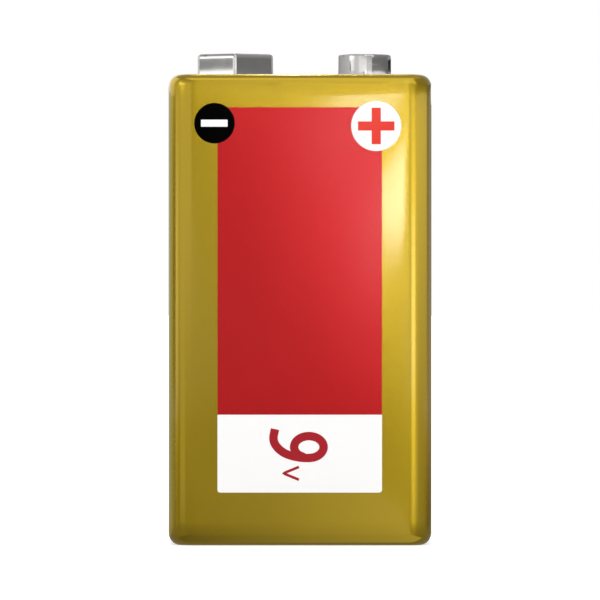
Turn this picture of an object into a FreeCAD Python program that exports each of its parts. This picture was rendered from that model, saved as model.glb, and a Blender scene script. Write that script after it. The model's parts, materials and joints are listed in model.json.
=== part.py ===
import FreeCAD, Part
import math
import os

import Sketcher
from FreeCAD import Placement, Rotation, Vector

# A nine volt battery: six slim cells in series in a folded metal jacket, with both snap terminals on top.
# The origin is the centre of the base. +X is the wide way, +Y the back, +Z up, and the front faces -Y.

# Driving dimensions in millimetres: alias, value, meaning
SIZES = [
    ("jacket_wide", 25.8, "outside width of the jacket"),
    ("jacket_deep", 17.0, "outside depth of the jacket"),
    ("battery_tall", 47.95, "height over the terminals"),
    ("terminal_rise", 2.15, "height of the terminals above the top rim"),
    ("jacket_sheet", 0.3, "thickness of the jacket's sheet"),
    ("corner_radius", 2.4, "outside radius of the jacket's upright corners"),
    ("bend_radius", 1.1, "outside radius where the wall rolls into a rim"),
    ("rim_land", 0.3, "flat width along the crest of a rim"),
    ("lip_long", 0.6, "length of the lip past the crest"),
    ("lip_turn", 30.0, "degrees that the lip is bent down onto a plate"),
    ("seam_from_corner", 2.7, "distance of the lap seam from the bend of the upright corner"),
    ("seam_step", 0.15, "height of the step at the lap seam"),
    ("seam_ramp", 3.6, "width over which the lapped sheet runs out"),
    ("seam_margin", 0.9, "distance of the seam's ends from the rims' bends"),
    ("fit_gap", 0.1, "clearance round a piece that drops into another"),
    ("rivet_gap", 0.05, "clearance round a rivet's shank"),
    ("terminal_plate_thick", 1.4, "thickness of the terminal plate"),
    ("base_plate_thick", 1.0, "thickness of the base plate"),
    ("plate_bevel", 0.7, "bevel of a plate's edge inside the rim's bend"),
    ("skirt_thick", 1.0, "thickness of the skirt under the terminal plate"),
    ("skirt_tall", 1.2, "height of that skirt, which is the room for the leads and the rivets' tails"),
    ("seat_deep", 0.2, "depth of the terminals' seats in the plate"),
    ("card_thick", 0.3, "thickness of an insulating card"),
    ("liner_thick", 0.15, "thickness of the liner round the cells"),
    ("terminal_spacing", 12.7, "distance between the terminals' centres"),
    ("lip_clear", 0.2, "least room between a terminal and the rim's lip"),
    ("terminal_sheet", 0.3, "thickness of the terminals' sheet"),
    ("stud_head_radius", 2.6, "radius of the stud's head"),
    ("stud_foot_radius", 2.54, "radius of the stud's neck where it rises from the flange"),
    ("stud_neck_radius", 2.46, "radius of the stud's neck at its waist"),
    ("stud_flange_radius", 3.4, "radius of the stud's flange"),
    ("stud_neck_top", 0.65, "height of the waist above the seat"),
    ("stud_head_start", 0.9, "height above the seat where the head is full"),
    ("stud_edge_in", 0.22, "width of the stud's rounded top edge, worked as two bevels"),
    ("stud_edge_step", 0.07, "short side of each of those bevels"),
    ("stud_dimple_radius", 1.75, "radius of the dimple in the stud's top"),
    ("stud_dimple_deep", 0.35, "depth of that dimple"),
    ("stud_dimple_slope", 0.2, "width of the dimple's sloping side"),
    ("socket_flats", 7.52, "distance across the socket's flats at its foot"),
    ("socket_taper", 1.3, "degrees that the socket's walls lean in"),
    ("socket_corner_radius", 0.4, "rounding of the socket's upright corners"),
    ("socket_edge_bevel", 0.28, "bevel of the socket's top edge"),
    ("throat_radius", 2.5, "radius of the socket's sprung throat"),
    ("throat_lead", 0.3, "width and height of the throat's lead-in"),
    ("throat_deep", 1.5, "depth of the sprung petals"),
    ("throat_flare", 0.12, "how far the petals' lower ends spring outward"),
    ("slit_wide", 0.35, "width of the slits between the petals"),
    ("slit_reach", 3.7, "distance from the socket's axis to a slit's end"),
    ("shank_radius", 1.1, "radius of a rivet's shank"),
    ("stud_rivet_head_radius", 1.4, "radius of the rivet's head in the stud"),
    ("socket_rivet_head_radius", 1.7, "radius of the rivet's head in the socket"),
    ("rivet_head_tall", 0.3, "height of a rivet's head"),
    ("rivet_tail_radius", 1.7, "radius of a rivet's spread tail"),
    ("rivet_tail_tall", 0.35, "height of a rivet's spread tail"),
    ("rivet_bevel", 0.12, "bevel round a rivet's head and tail"),
    ("tab_thick", 0.15, "thickness of the straps and leads"),
    ("strap_wide", 3.0, "width of a strap between two cells"),
    ("strap_bevel", 0.6, "bevel of a strap's corners"),
    ("lead_cover", 2.5, "how much wider a lead is than the way from its cell to its rivet"),
    ("lead_foot_half", 1.35, "half the length of a lead's foot on its cell"),
    ("lead_ring", 1.9, "distance of the upper bend and the free end from the rivet"),
    ("window_margin", 0.3, "play round a lead in the top card's window"),
    ("window_inner", 1.2, "distance of a window's inner edge from the middle plane"),
    ("cell_play", 0.08, "room between the outer cells and the liner"),
    ("cell_gap", 0.14, "least room between two sleeved cells"),
    ("nub_radius", 1.3, "radius of a cell's positive nub"),
    ("nub_tall", 0.6, "height of the positive nub"),
    ("cap_radius", 2.9, "radius of a cell's negative cap"),
    ("cap_tall", 0.25, "height of the negative cap past the crimped end"),
    ("sleeve_thick", 0.1, "thickness of a cell's shrunk sleeve"),
    ("sleeve_margin", 0.5, "bare length left beyond each end of a sleeve"),
]

# Heights and half widths that follow from the driving dimensions: alias, formula
PLACES = [
    ("jacket_tall", "Sizes.battery_tall - Sizes.terminal_rise"),
    ("half_wide", "Sizes.jacket_wide / 2"),
    ("half_deep", "Sizes.jacket_deep / 2"),
    ("lip_start", "Sizes.bend_radius + Sizes.rim_land"),
    ("lip_reach", "lip_start + Sizes.lip_long * cos(Sizes.lip_turn * 1 deg)"),
    ("lip_drop", "Sizes.lip_long * sin(Sizes.lip_turn * 1 deg)"),
    ("lip_inner_start", "lip_start - Sizes.jacket_sheet * tan(Sizes.lip_turn * 0.5 deg)"),
    ("lip_inner_reach", "lip_reach - Sizes.jacket_sheet * sin(Sizes.lip_turn * 1 deg)"),
    ("lip_inner_drop", "lip_drop + Sizes.jacket_sheet * cos(Sizes.lip_turn * 1 deg)"),
    ("plate_inset", "Sizes.jacket_sheet + Sizes.fit_gap"),
    ("card_inset", "Sizes.jacket_sheet + Sizes.liner_thick + Sizes.fit_gap"),
    ("base_plate_top", "lip_inner_drop + Sizes.base_plate_thick"),
    ("bottom_strap_low", "base_plate_top + Sizes.card_thick"),
    ("cell_low", "bottom_strap_low + Sizes.tab_thick"),
    ("plate_top", "jacket_tall - lip_inner_drop"),
    ("plate_under", "plate_top - Sizes.terminal_plate_thick"),
    ("top_card_high", "plate_under - Sizes.skirt_tall"),
    ("top_card_low", "top_card_high - Sizes.card_thick"),
    ("cell_high", "top_card_low - Sizes.tab_thick"),
    ("cell_tall", "cell_high - cell_low"),
    ("shoulder", "cell_tall - Sizes.nub_tall"),
    ("room_wide", "half_wide - Sizes.jacket_sheet - Sizes.liner_thick - Sizes.cell_play"),
    ("room_deep", "half_deep - Sizes.jacket_sheet - Sizes.liner_thick - Sizes.cell_play"),
    ("sleeve_radius", "min((room_deep - Sizes.cell_gap / 2) / 2; (room_wide - Sizes.cell_gap) / 3)"),
    ("cell_radius", "sleeve_radius - Sizes.sleeve_thick"),
    ("column_pitch", "room_wide - sleeve_radius"),
    ("row_side", "room_deep - sleeve_radius"),
    ("seat_level", "plate_top - Sizes.seat_deep"),
    ("terminal_tall", "Sizes.battery_tall - seat_level"),
    ("terminal_room", "half_wide - lip_reach - Sizes.socket_flats / 2 - Sizes.lip_clear"),
    ("terminal_side", "min(Sizes.terminal_spacing / 2; terminal_room)"),
    ("hole_radius", "Sizes.shank_radius + Sizes.rivet_gap"),
    ("dimple_level", "terminal_tall - Sizes.stud_dimple_deep"),
    ("tail_top", "plate_under - Sizes.tab_thick"),
    ("socket_corner", "Sizes.socket_flats / 2 / cos(30 deg)"),
    ("socket_lean", "terminal_tall * tan(Sizes.socket_taper * 1 deg)"),
    ("socket_hollow_corner", "(Sizes.socket_flats / 2 - Sizes.terminal_sheet - socket_lean) / cos(30 deg)"),
    ("petal_outside", "Sizes.throat_radius + Sizes.terminal_sheet"),
    ("lead_middle", "(terminal_side + column_pitch) / 2"),
    ("lead_wide", "abs(column_pitch - terminal_side) + Sizes.lead_cover"),
    ("lead_foot_out", "row_side + Sizes.lead_foot_half"),
    ("lead_foot_in", "row_side - Sizes.lead_foot_half"),
    ("seam_place", "half_wide - Sizes.corner_radius - Sizes.seam_from_corner"),
]

# The six cells in their order in series: column, row (-1 is the front) and whether the positive end is up
CELLS = [
    (1, -1, True),
    (1, 1, False),
    (0, 1, True),
    (0, -1, False),
    (-1, -1, True),
    (-1, 1, False),
]

# Flat folds that follow the round bend from the jacket's wall into a rim
BEND_FOLDS = 3

# Edges whose heights differ by less than this lie at one height
SAME_HEIGHT = 0.0001

doc = FreeCAD.newDocument("nine_volt_battery")


# The two sheets
def make_sizes():
    sheet = doc.addObject("Spreadsheet::Sheet", "Sizes")
    for row, (alias, value, meaning) in enumerate(SIZES, start=1):
        sheet.set(f"A{row}", meaning)
        sheet.set(f"B{row}", str(value))
        sheet.setAlias(f"B{row}", alias)
    return sheet


def make_places():
    sheet = doc.addObject("Spreadsheet::Sheet", "Places")
    for row, (alias, formula) in enumerate(PLACES, start=1):
        sheet.set(f"A{row}", f"={formula}")
        sheet.setAlias(f"A{row}", alias)
    return sheet


def size(formula):
    """The present value of a formula of Sizes and Places, as a plain number."""
    value = sizes.evalExpression(formula)
    return float(getattr(value, "Value", value))


# Bodies, and sketches whose every point is bound to the sheets
def make_body(name):
    body = doc.addObject("PartDesign::Body", name)
    body.Label = name
    return body


def place_body(body, across="0", back="0", up="0", turn=None):
    """Puts a body at three formulas of the sheets, after an optional turn."""
    if turn is not None:
        body.Placement = Placement(Vector(0, 0, 0), turn)
    body.setExpression("Placement.Base.x", across)
    body.setExpression("Placement.Base.y", back)
    body.setExpression("Placement.Base.z", up)


def make_sketch(body, name, role, height="0"):
    """A sketch on one of the body's own planes, lifted along the plane's normal by a formula."""
    sketch = body.newObject("Sketcher::SketchObject", name)
    plane = next(item for item in body.Origin.OriginFeatures if item.Role == role)
    sketch.AttachmentSupport = [(plane, "")]
    sketch.MapMode = "FlatFace"
    sketch.setExpression("AttachmentOffset.Base.z", height)
    return sketch


def arc_between(start, end, radius, side):
    """The arc under half a turn from start to end that bulges to the given side of travel (1 is right)."""
    chord = end - start
    middle = start + chord * 0.5
    sideways = Vector(chord.y, -chord.x, 0).normalize() * side
    half = chord.Length / 2
    sink = math.sqrt(max(radius * radius - half * half, 0.0))
    bulge = middle + sideways * (radius - sink)
    return Part.Arc(start, bulge, end)


def bind(sketch, constraint, formula):
    index = sketch.addConstraint(constraint)
    sketch.setExpression(f"Constraints[{index}]", formula)


def sketch_end(sketch, piece, point):
    """Which end of a line or arc (1 or 2) lies at a point."""
    if sketch.getPoint(piece, 1).distanceToPoint(point) < sketch.getPoint(piece, 2).distanceToPoint(point):
        return 1
    return 2


def draw_outline(sketch, steps):
    """A closed outline of steps: (x, y), reached by a line, or (x, y, radius, side), reached by an arc."""
    points = [Vector(size(step[0]), size(step[1]), 0) for step in steps]
    first = sketch.GeometryCount
    count = len(steps)
    for index, step in enumerate(steps):
        start = points[index - 1]
        end = points[index]
        if len(step) == 4:
            shape = arc_between(start, end, size(step[2]), step[3])
        else:
            shape = Part.LineSegment(start, end)
        sketch.addGeometry(shape, False)
    for index, step in enumerate(steps):
        piece = first + index
        after = first + (index + 1) % count
        end_vertex = sketch_end(sketch, piece, points[index])
        start_vertex = sketch_end(sketch, after, points[index])
        sketch.addConstraint(Sketcher.Constraint("Coincident", piece, end_vertex, after, start_vertex))
        bind(sketch, Sketcher.Constraint("DistanceX", -1, 1, piece, end_vertex, points[index].x), step[0])
        bind(sketch, Sketcher.Constraint("DistanceY", -1, 1, piece, end_vertex, points[index].y), step[1])
        if len(step) == 4:
            bind(sketch, Sketcher.Constraint("Radius", piece, size(step[2])), step[2])


def draw_circle(sketch, radius, across="0", up="0"):
    middle = Vector(size(across), size(up), 0)
    index = sketch.addGeometry(Part.Circle(middle, Vector(0, 0, 1), size(radius)), False)
    bind(sketch, Sketcher.Constraint("DistanceX", -1, 1, index, 3, middle.x), across)
    bind(sketch, Sketcher.Constraint("DistanceY", -1, 1, index, 3, middle.y), up)
    bind(sketch, Sketcher.Constraint("Radius", index, size(radius)), radius)


def draw_rounded_box(sketch, half_wide, half_deep, radius):
    """A rectangle with round corners about the origin, drawn anticlockwise."""
    flat_wide = f"({half_wide}) - ({radius})"
    flat_deep = f"({half_deep}) - ({radius})"
    draw_outline(sketch, [
        (f"-({flat_wide})", f"-({half_deep})", radius, 1),
        (flat_wide, f"-({half_deep})"),
        (half_wide, f"-({flat_deep})", radius, 1),
        (half_wide, flat_deep),
        (flat_wide, half_deep, radius, 1),
        (f"-({flat_wide})", half_deep),
        (f"-({half_wide})", flat_deep, radius, 1),
        (f"-({half_wide})", f"-({flat_deep})"),
    ])


def draw_bevelled_box(sketch, half_wide, half_deep, bevel):
    """A rectangle with cut corners about the origin."""
    draw_outline(sketch, [
        (f"-({half_wide}) + {bevel}", f"-({half_deep})"),
        (f"{half_wide} - {bevel}", f"-({half_deep})"),
        (half_wide, f"-({half_deep}) + {bevel}"),
        (half_wide, f"{half_deep} - {bevel}"),
        (f"{half_wide} - {bevel}", half_deep),
        (f"-({half_wide}) + {bevel}", half_deep),
        (f"-({half_wide})", f"{half_deep} - {bevel}"),
        (f"-({half_wide})", f"-({half_deep}) + {bevel}"),
    ])


def draw_inset_box(sketch, inset):
    """The jacket's outline moved inward."""
    draw_rounded_box(sketch, f"Places.half_wide - ({inset})", f"Places.half_deep - ({inset})",
                     f"Sizes.corner_radius - ({inset})")


def draw_box(sketch, left, right, low, high):
    draw_outline(sketch, [(left, low), (right, low), (right, high), (left, high)])


def draw_hexagon(sketch, corner):
    """A hexagon with its corners on the Y axis and its flats across X."""
    side = f"({corner}) * cos(30 deg)"
    half = f"({corner}) / 2"
    draw_outline(sketch, [
        ("0", f"-({corner})"),
        (side, f"-({half})"),
        (side, half),
        ("0", corner),
        (f"-({side})", half),
        (f"-({side})", f"-({half})"),
    ])


# Features on a sketch
def pad(body, name, sketch, length, downward=False):
    feature = body.newObject("PartDesign::Pad", name)
    feature.Profile = sketch
    feature.Reversed = downward
    feature.setExpression("Length", length)
    doc.recompute()
    return feature


def pocket(body, name, sketch, depth, upward=False):
    """Cuts down from the sketch, or up from it, and checks that something was cut."""
    before = body.Shape.Volume
    feature = body.newObject("PartDesign::Pocket", name)
    feature.Profile = sketch
    feature.Reversed = upward
    feature.setExpression("Length", depth)
    doc.recompute()
    if not body.Shape.Volume < before:
        raise RuntimeError(f"{name} cuts nothing")
    return feature


def revolve(body, name, steps):
    """Turns a profile of (radius, height) steps round the body's Z axis."""
    sketch = make_sketch(body, f"{name}_profile", "XZ_Plane")
    draw_outline(sketch, steps)
    feature = body.newObject("PartDesign::Revolution", f"{name}_turn")
    feature.Profile = sketch
    feature.ReferenceAxis = (sketch, ["V_Axis"])
    feature.Angle = 360
    doc.recompute()
    return feature


def ease_edges(body, kind, name, edges, value):
    """A PartDesign Fillet or Chamfer of the named edges of the body so far."""
    base = body.Tip
    feature = body.newObject(f"PartDesign::{kind}", name)
    feature.Base = (base, edges)
    feature.setExpression("Radius" if kind == "Fillet" else "Size", value)
    doc.recompute()
    return feature


def edges_where(shape, test):
    """The names of the edges whose middle and direction pass a test."""
    names = []
    for index, edge in enumerate(shape.Edges, start=1):
        first, last = edge.ParameterRange
        middle = edge.valueAt((first + last) / 2)
        direction = edge.tangentAt((first + last) / 2)
        if test(middle, direction):
            names.append(f"Edge{index}")
    return names


def rises(middle, direction):
    """Whether an edge runs more up than across."""
    return abs(direction.z) > math.hypot(direction.x, direction.y)


# The jacket: one sheet, wrapped round with a lap seam, its ends rolled over and curled onto the plates
def rim_steps(rising):
    """One rim of the jacket's section as (x, z) steps: round the bend to the lip, then back inside."""
    def across(reach):
        return f"Places.half_wide - ({reach})"

    def up(drop):
        return f"Places.jacket_tall - ({drop})" if rising else drop

    steps = []
    for fold in range(BEND_FOLDS + 1):
        angle = f"{90 * fold / BEND_FOLDS} deg"
        steps.append((across(f"Sizes.bend_radius * (1 - cos({angle}))"),
                      up(f"Sizes.bend_radius * (1 - sin({angle}))")))
    steps += [
        (across("Places.lip_start"), up("0")),
        (across("Places.lip_reach"), up("Places.lip_drop")),
        (across("Places.lip_inner_reach"), up("Places.lip_inner_drop")),
        (across("Places.lip_inner_start"), up("Sizes.jacket_sheet")),
        (across("Sizes.jacket_sheet"), up("Sizes.bend_radius")),
    ]
    return steps


def make_jacket():
    body = make_body("jacket")
    section = make_sketch(body, "jacket_section", "XZ_Plane")
    draw_outline(section, rim_steps(True) + rim_steps(False)[::-1])
    path = make_sketch(body, "jacket_path", "XY_Plane", "Places.jacket_tall / 2")
    draw_inset_box(path, "0")
    doc.recompute()
    wrap = body.newObject("PartDesign::AdditivePipe", "jacket_wrap")
    wrap.Profile = section
    wrap.Spine = path
    doc.recompute()
    seam_low = "(Sizes.bend_radius + Sizes.seam_margin)"
    seam = make_sketch(body, "jacket_seam", "XY_Plane", seam_low)
    draw_outline(seam, [
        ("Places.seam_place", "Places.half_deep - Sizes.seam_step"),
        ("Places.seam_place - Sizes.seam_ramp", "Places.half_deep"),
        ("Places.seam_place", "Places.half_deep + Sizes.seam_step"),
    ])
    pocket(body, "jacket_seam_step", seam, f"Places.jacket_tall - 2 * {seam_low}", upward=True)
    return body


def make_liner():
    body = make_body("jacket_liner")
    sketch = make_sketch(body, "liner_outline", "XY_Plane", "Places.base_plate_top")
    draw_inset_box(sketch, "Sizes.jacket_sheet")
    draw_inset_box(sketch, "Sizes.jacket_sheet + Sizes.liner_thick")
    pad(body, "liner_wall", sketch, "Places.top_card_high - Places.base_plate_top")
    return body


# The plates that the rims curl onto
def bevel_flat_edge(body, name, height):
    """Bevels the edges of a plain plate at one height, so that it lies in the rim's bend."""
    names = edges_where(body.Shape, lambda middle, direction: abs(middle.z - size(height)) < SAME_HEIGHT)
    ease_edges(body, "Chamfer", name, names, "Sizes.plate_bevel")


def make_terminal_plate():
    body = make_body("terminal_plate")
    outline = make_sketch(body, "plate_outline", "XY_Plane", "Places.top_card_high")
    draw_inset_box(outline, "Places.plate_inset")
    pad(body, "plate_block", outline, "Places.plate_top - Places.top_card_high")
    bevel_flat_edge(body, "plate_edge", "Places.plate_top")
    hollow = make_sketch(body, "skirt_inside", "XY_Plane", "Places.top_card_high")
    draw_inset_box(hollow, "Places.plate_inset + Sizes.skirt_thick")
    pocket(body, "skirt_hollow", hollow, "Places.plate_under - Places.top_card_high", upward=True)
    stud_seat = make_sketch(body, "stud_seat", "XY_Plane", "Places.plate_top")
    draw_circle(stud_seat, "Sizes.stud_flange_radius + Sizes.fit_gap", "Places.terminal_side")
    pocket(body, "stud_seat_cut", stud_seat, "Sizes.seat_deep")
    socket_seat = make_sketch(body, "socket_seat", "XY_Plane", "Places.plate_top")
    draw_circle(socket_seat, "Places.socket_corner + Sizes.fit_gap", "-Places.terminal_side")
    pocket(body, "socket_seat_cut", socket_seat, "Sizes.seat_deep")
    holes = make_sketch(body, "rivet_holes", "XY_Plane", "Places.plate_top")
    draw_circle(holes, "Places.hole_radius", "Places.terminal_side")
    draw_circle(holes, "Places.hole_radius", "-Places.terminal_side")
    pocket(body, "rivet_hole_cut", holes, "Sizes.terminal_plate_thick + Sizes.fit_gap")
    return body


def make_base_plate():
    body = make_body("base_plate")
    outline = make_sketch(body, "base_outline", "XY_Plane", "Places.lip_inner_drop")
    draw_inset_box(outline, "Places.plate_inset")
    pad(body, "base_block", outline, "Sizes.base_plate_thick")
    bevel_flat_edge(body, "base_edge", "Places.lip_inner_drop")
    return body


# The insulating cards above and below the cells
def make_card(name, level):
    body = make_body(name)
    outline = make_sketch(body, f"{name}_outline", "XY_Plane", level)
    draw_inset_box(outline, "Places.card_inset")
    pad(body, f"{name}_sheet", outline, "Sizes.card_thick")
    return body


def make_top_card():
    body = make_card("top_insulator_card", "Places.top_card_low")
    near = "Places.lead_middle - Places.lead_wide / 2 - Sizes.window_margin"
    far = "Places.lead_middle + Places.lead_wide / 2 + Sizes.window_margin"
    outer = "Places.lead_foot_out + Sizes.window_margin"
    windows = make_sketch(body, "lead_windows", "XY_Plane", "Places.top_card_high")
    draw_box(windows, near, far, f"-({outer})", "-Sizes.window_inner")
    draw_box(windows, f"-({far})", f"-({near})", "Sizes.window_inner", outer)
    pocket(body, "lead_window_cut", windows, "Sizes.card_thick")
    return body


# The positive stud: a drawn shell with a snap head, a neck and a flange
def make_stud():
    body = make_body("positive_stud")
    neck_inside = "Sizes.stud_neck_radius - Sizes.terminal_sheet"
    dimple_under = "Places.dimple_level - Sizes.terminal_sheet"
    revolve(body, "stud", [
        ("Places.hole_radius", dimple_under),
        (neck_inside, dimple_under),
        (neck_inside, "0"),
        ("Sizes.stud_flange_radius", "0"),
        ("Sizes.stud_flange_radius", "Sizes.terminal_sheet"),
        ("Sizes.stud_foot_radius", "Sizes.terminal_sheet"),
        ("Sizes.stud_neck_radius", "Sizes.stud_neck_top"),
        ("Sizes.stud_head_radius", "Sizes.stud_head_start"),
        ("Sizes.stud_head_radius", "Places.terminal_tall - Sizes.stud_edge_in"),
        ("Sizes.stud_head_radius - Sizes.stud_edge_step", "Places.terminal_tall - Sizes.stud_edge_step"),
        ("Sizes.stud_head_radius - Sizes.stud_edge_in", "Places.terminal_tall"),
        ("Sizes.stud_dimple_radius", "Places.terminal_tall"),
        ("Sizes.stud_dimple_radius - Sizes.stud_dimple_slope", "Places.dimple_level"),
        ("Places.hole_radius", "Places.dimple_level"),
    ])
    place_body(body, "Places.terminal_side", "0", "Places.seat_level")
    return body


# The negative socket: a six-sided cup whose top folds inward and down into six sprung petals
def make_socket():
    body = make_body("negative_socket")
    foot = make_sketch(body, "socket_foot", "XY_Plane")
    draw_hexagon(foot, "Places.socket_corner")
    block = pad(body, "socket_block", foot, "Places.terminal_tall")
    block.setExpression("TaperAngle", "-Sizes.socket_taper")
    doc.recompute()
    top = size("Places.terminal_tall")
    uprights = edges_where(body.Shape, rises)
    ease_edges(body, "Fillet", "socket_corners", uprights, "Sizes.socket_corner_radius")
    crown = edges_where(body.Shape, lambda middle, direction: abs(middle.z - top) < SAME_HEIGHT)
    ease_edges(body, "Chamfer", "socket_crown", crown, "Sizes.socket_edge_bevel")
    hollow = make_sketch(body, "socket_inside", "XY_Plane", "Places.terminal_tall - Sizes.terminal_sheet")
    draw_hexagon(hollow, "Places.socket_hollow_corner")
    draw_circle(hollow, "Places.petal_outside")
    pocket(body, "socket_hollow", hollow, "Places.terminal_tall - 2 * Sizes.terminal_sheet")
    cut_throat(body)
    cut_slits(body)
    hole = make_sketch(body, "socket_hole", "XY_Plane")
    draw_circle(hole, "Places.hole_radius")
    pocket(body, "socket_hole_cut", hole, "Sizes.terminal_sheet", upward=True)
    place_body(body, "-Places.terminal_side", "0", "Places.seat_level")
    return body


def cut_throat(body):
    """Turns out the column inside the petals, with a lead-in above and a flare at the petals' ends."""
    before = body.Shape.Volume
    sketch = make_sketch(body, "throat_profile", "XZ_Plane")
    petal_end = "Places.terminal_tall - Sizes.throat_deep"
    below = "Places.petal_outside + Sizes.fit_gap"
    draw_outline(sketch, [
        ("0", "Sizes.terminal_sheet"),
        (below, "Sizes.terminal_sheet"),
        (below, petal_end),
        ("Sizes.throat_radius + Sizes.throat_flare", petal_end),
        ("Sizes.throat_radius", f"{petal_end} + Sizes.throat_lead"),
        ("Sizes.throat_radius", "Places.terminal_tall - Sizes.throat_lead"),
        ("Sizes.throat_radius + Sizes.throat_lead", "Places.terminal_tall"),
        ("0", "Places.terminal_tall"),
    ])
    groove = body.newObject("PartDesign::Groove", "throat_turn")
    groove.Profile = sketch
    groove.ReferenceAxis = (sketch, ["V_Axis"])
    groove.Angle = 360
    doc.recompute()
    if not body.Shape.Volume < before:
        raise RuntimeError("the throat cuts nothing")


def cut_slits(body):
    """Cuts one slit from the throat towards a corner and repeats it round the socket."""
    sketch = make_sketch(body, "slit_outline", "XY_Plane", "Places.terminal_tall")
    half = "Sizes.slit_wide / 2"
    draw_box(sketch, f"-({half})", half, "Sizes.throat_radius / 2", "Sizes.slit_reach")
    slit = pocket(body, "slit_cut", sketch, "Sizes.throat_deep")
    before = body.Shape.Volume
    pattern = body.newObject("PartDesign::PolarPattern", "slit_ring")
    pattern.Originals = [slit]
    pattern.Axis = (next(item for item in body.Origin.OriginFeatures if item.Role == "Z_Axis"), [""])
    pattern.Angle = 360
    pattern.Occurrences = 6
    body.Tip = pattern
    doc.recompute()
    if not body.Shape.Volume < before:
        raise RuntimeError("the slits aren't repeated")


# The rivets through the terminals, the plate and the leads
def make_rivet(name, head_low, head_radius, side):
    """A rivet from its head, lying on head_low, to the tail spread under a lead."""
    body = make_body(name)
    head_high = f"{head_low} + Sizes.rivet_head_tall"
    tail_low = "Places.tail_top - Sizes.rivet_tail_tall"
    revolve(body, name, [
        ("0", tail_low),
        ("Sizes.rivet_tail_radius - Sizes.rivet_bevel", tail_low),
        ("Sizes.rivet_tail_radius", f"{tail_low} + Sizes.rivet_bevel"),
        ("Sizes.rivet_tail_radius", "Places.tail_top"),
        ("Sizes.shank_radius", "Places.tail_top"),
        ("Sizes.shank_radius", head_low),
        (head_radius, head_low),
        (head_radius, f"{head_high} - Sizes.rivet_bevel"),
        (f"{head_radius} - Sizes.rivet_bevel", head_high),
        ("0", head_high),
    ])
    place_body(body, side)
    return body


# The straps that join the cells in series, and the leads up to the terminals
def make_strap(name, column_from, column_to, row_from, row_to, level):
    """A flat strap over two neighbouring cells, given by column and row."""
    body = make_body(name)
    sketch = make_sketch(body, f"{name}_outline", "XY_Plane")
    half_wide = f"Places.column_pitch * {abs(column_to - column_from)} / 2 + Sizes.strap_wide / 2"
    half_deep = f"Places.row_side * {abs(row_to - row_from)} / 2 + Sizes.strap_wide / 2"
    draw_bevelled_box(sketch, half_wide, half_deep, "Sizes.strap_bevel")
    pad(body, f"{name}_sheet", sketch, "Sizes.tab_thick")
    across = f"Places.column_pitch * {column_from + column_to} / 2"
    back = f"Places.row_side * {row_from + row_to} / 2"
    place_body(body, across, back, level)
    return body


def make_lead(name, turn):
    """A strip from a cell's end, bent up to the plate's underside, where a rivet holds it."""
    body = make_body(name)
    sketch = make_sketch(body, f"{name}_side", "YZ_Plane", "Places.lead_middle - Places.lead_wide / 2")
    foot = "Places.cell_high"
    ring = "Places.tail_top"
    thick = "Sizes.tab_thick"
    draw_outline(sketch, [
        ("-Places.lead_foot_out", foot),
        ("-Places.lead_foot_in", foot),
        ("-Sizes.lead_ring", ring),
        ("Sizes.lead_ring", ring),
        ("Sizes.lead_ring", f"{ring} + {thick}"),
        (f"-Sizes.lead_ring - {thick} / 2", f"{ring} + {thick}"),
        (f"-Places.lead_foot_in - {thick} / 2", f"{foot} + {thick}"),
        ("-Places.lead_foot_out", f"{foot} + {thick}"),
    ])
    pad(body, f"{name}_strip", sketch, "Places.lead_wide")
    hole = make_sketch(body, f"{name}_hole", "XY_Plane", "Places.plate_under")
    draw_circle(hole, "Places.hole_radius", "Places.terminal_side")
    pocket(body, f"{name}_hole_cut", hole, thick)
    body.Placement = Placement(Vector(0, 0, 0), turn)
    return body


# The sealed cells and their shrunk sleeves, drawn with the negative cap at height 0 and the nub on top
def cell_steps():
    return [
        ("0", "0"),
        ("Sizes.cap_radius", "0"),
        ("Sizes.cap_radius", "Sizes.cap_tall"),
        ("Places.cell_radius", "Sizes.cap_tall"),
        ("Places.cell_radius", "Places.shoulder"),
        ("Sizes.nub_radius", "Places.shoulder"),
        ("Sizes.nub_radius", "Places.cell_tall"),
        ("0", "Places.cell_tall"),
    ]


def sleeve_steps():
    low = "Sizes.cap_tall + Sizes.sleeve_margin"
    high = "Places.shoulder - Sizes.sleeve_margin"
    outside = "Places.sleeve_radius"
    return [
        ("Places.cell_radius", low),
        (outside, low),
        (outside, high),
        ("Places.cell_radius", high),
    ]


def make_cell(number, column, row, positive_up):
    """One cell and its sleeve, stood in their place with the positive end up or down."""
    pieces = []
    for name, steps in ((f"cell_{number}", cell_steps()), (f"cell_sleeve_{number}", sleeve_steps())):
        body = make_body(name)
        revolve(body, name, steps)
        across = f"Places.column_pitch * {column}"
        back = f"Places.row_side * {row}"
        if positive_up:
            place_body(body, across, back, "Places.cell_low")
        else:
            place_body(body, across, back, "Places.cell_high", Rotation(Vector(1, 0, 0), 180))
        pieces.append(body)
    return pieces


sizes = make_sizes()
places = make_places()
doc.recompute()

upright = Rotation()
half_turn = Rotation(Vector(0, 0, 1), 180)

parts = [make_jacket(), make_liner(), make_terminal_plate(), make_base_plate()]
parts += [make_top_card(), make_card("bottom_insulator_card", "Places.base_plate_top")]
parts += [make_stud(), make_socket()]
parts.append(make_rivet("positive_rivet", "Places.seat_level + Places.dimple_level",
                        "Sizes.stud_rivet_head_radius", "Places.terminal_side"))
parts.append(make_rivet("negative_rivet", "Places.seat_level + Sizes.terminal_sheet",
                        "Sizes.socket_rivet_head_radius", "-Places.terminal_side"))
parts += [make_lead("positive_lead", upright), make_lead("negative_lead", half_turn)]
parts.append(make_strap("top_strap_back", 0, 1, 1, 1, "Places.cell_high"))
parts.append(make_strap("top_strap_front", -1, 0, -1, -1, "Places.cell_high"))
for strap_name, strap_column in (("left", -1), ("centre", 0), ("right", 1)):
    parts.append(make_strap(f"bottom_strap_{strap_name}", strap_column, strap_column, -1, 1,
                            "Places.bottom_strap_low"))
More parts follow.
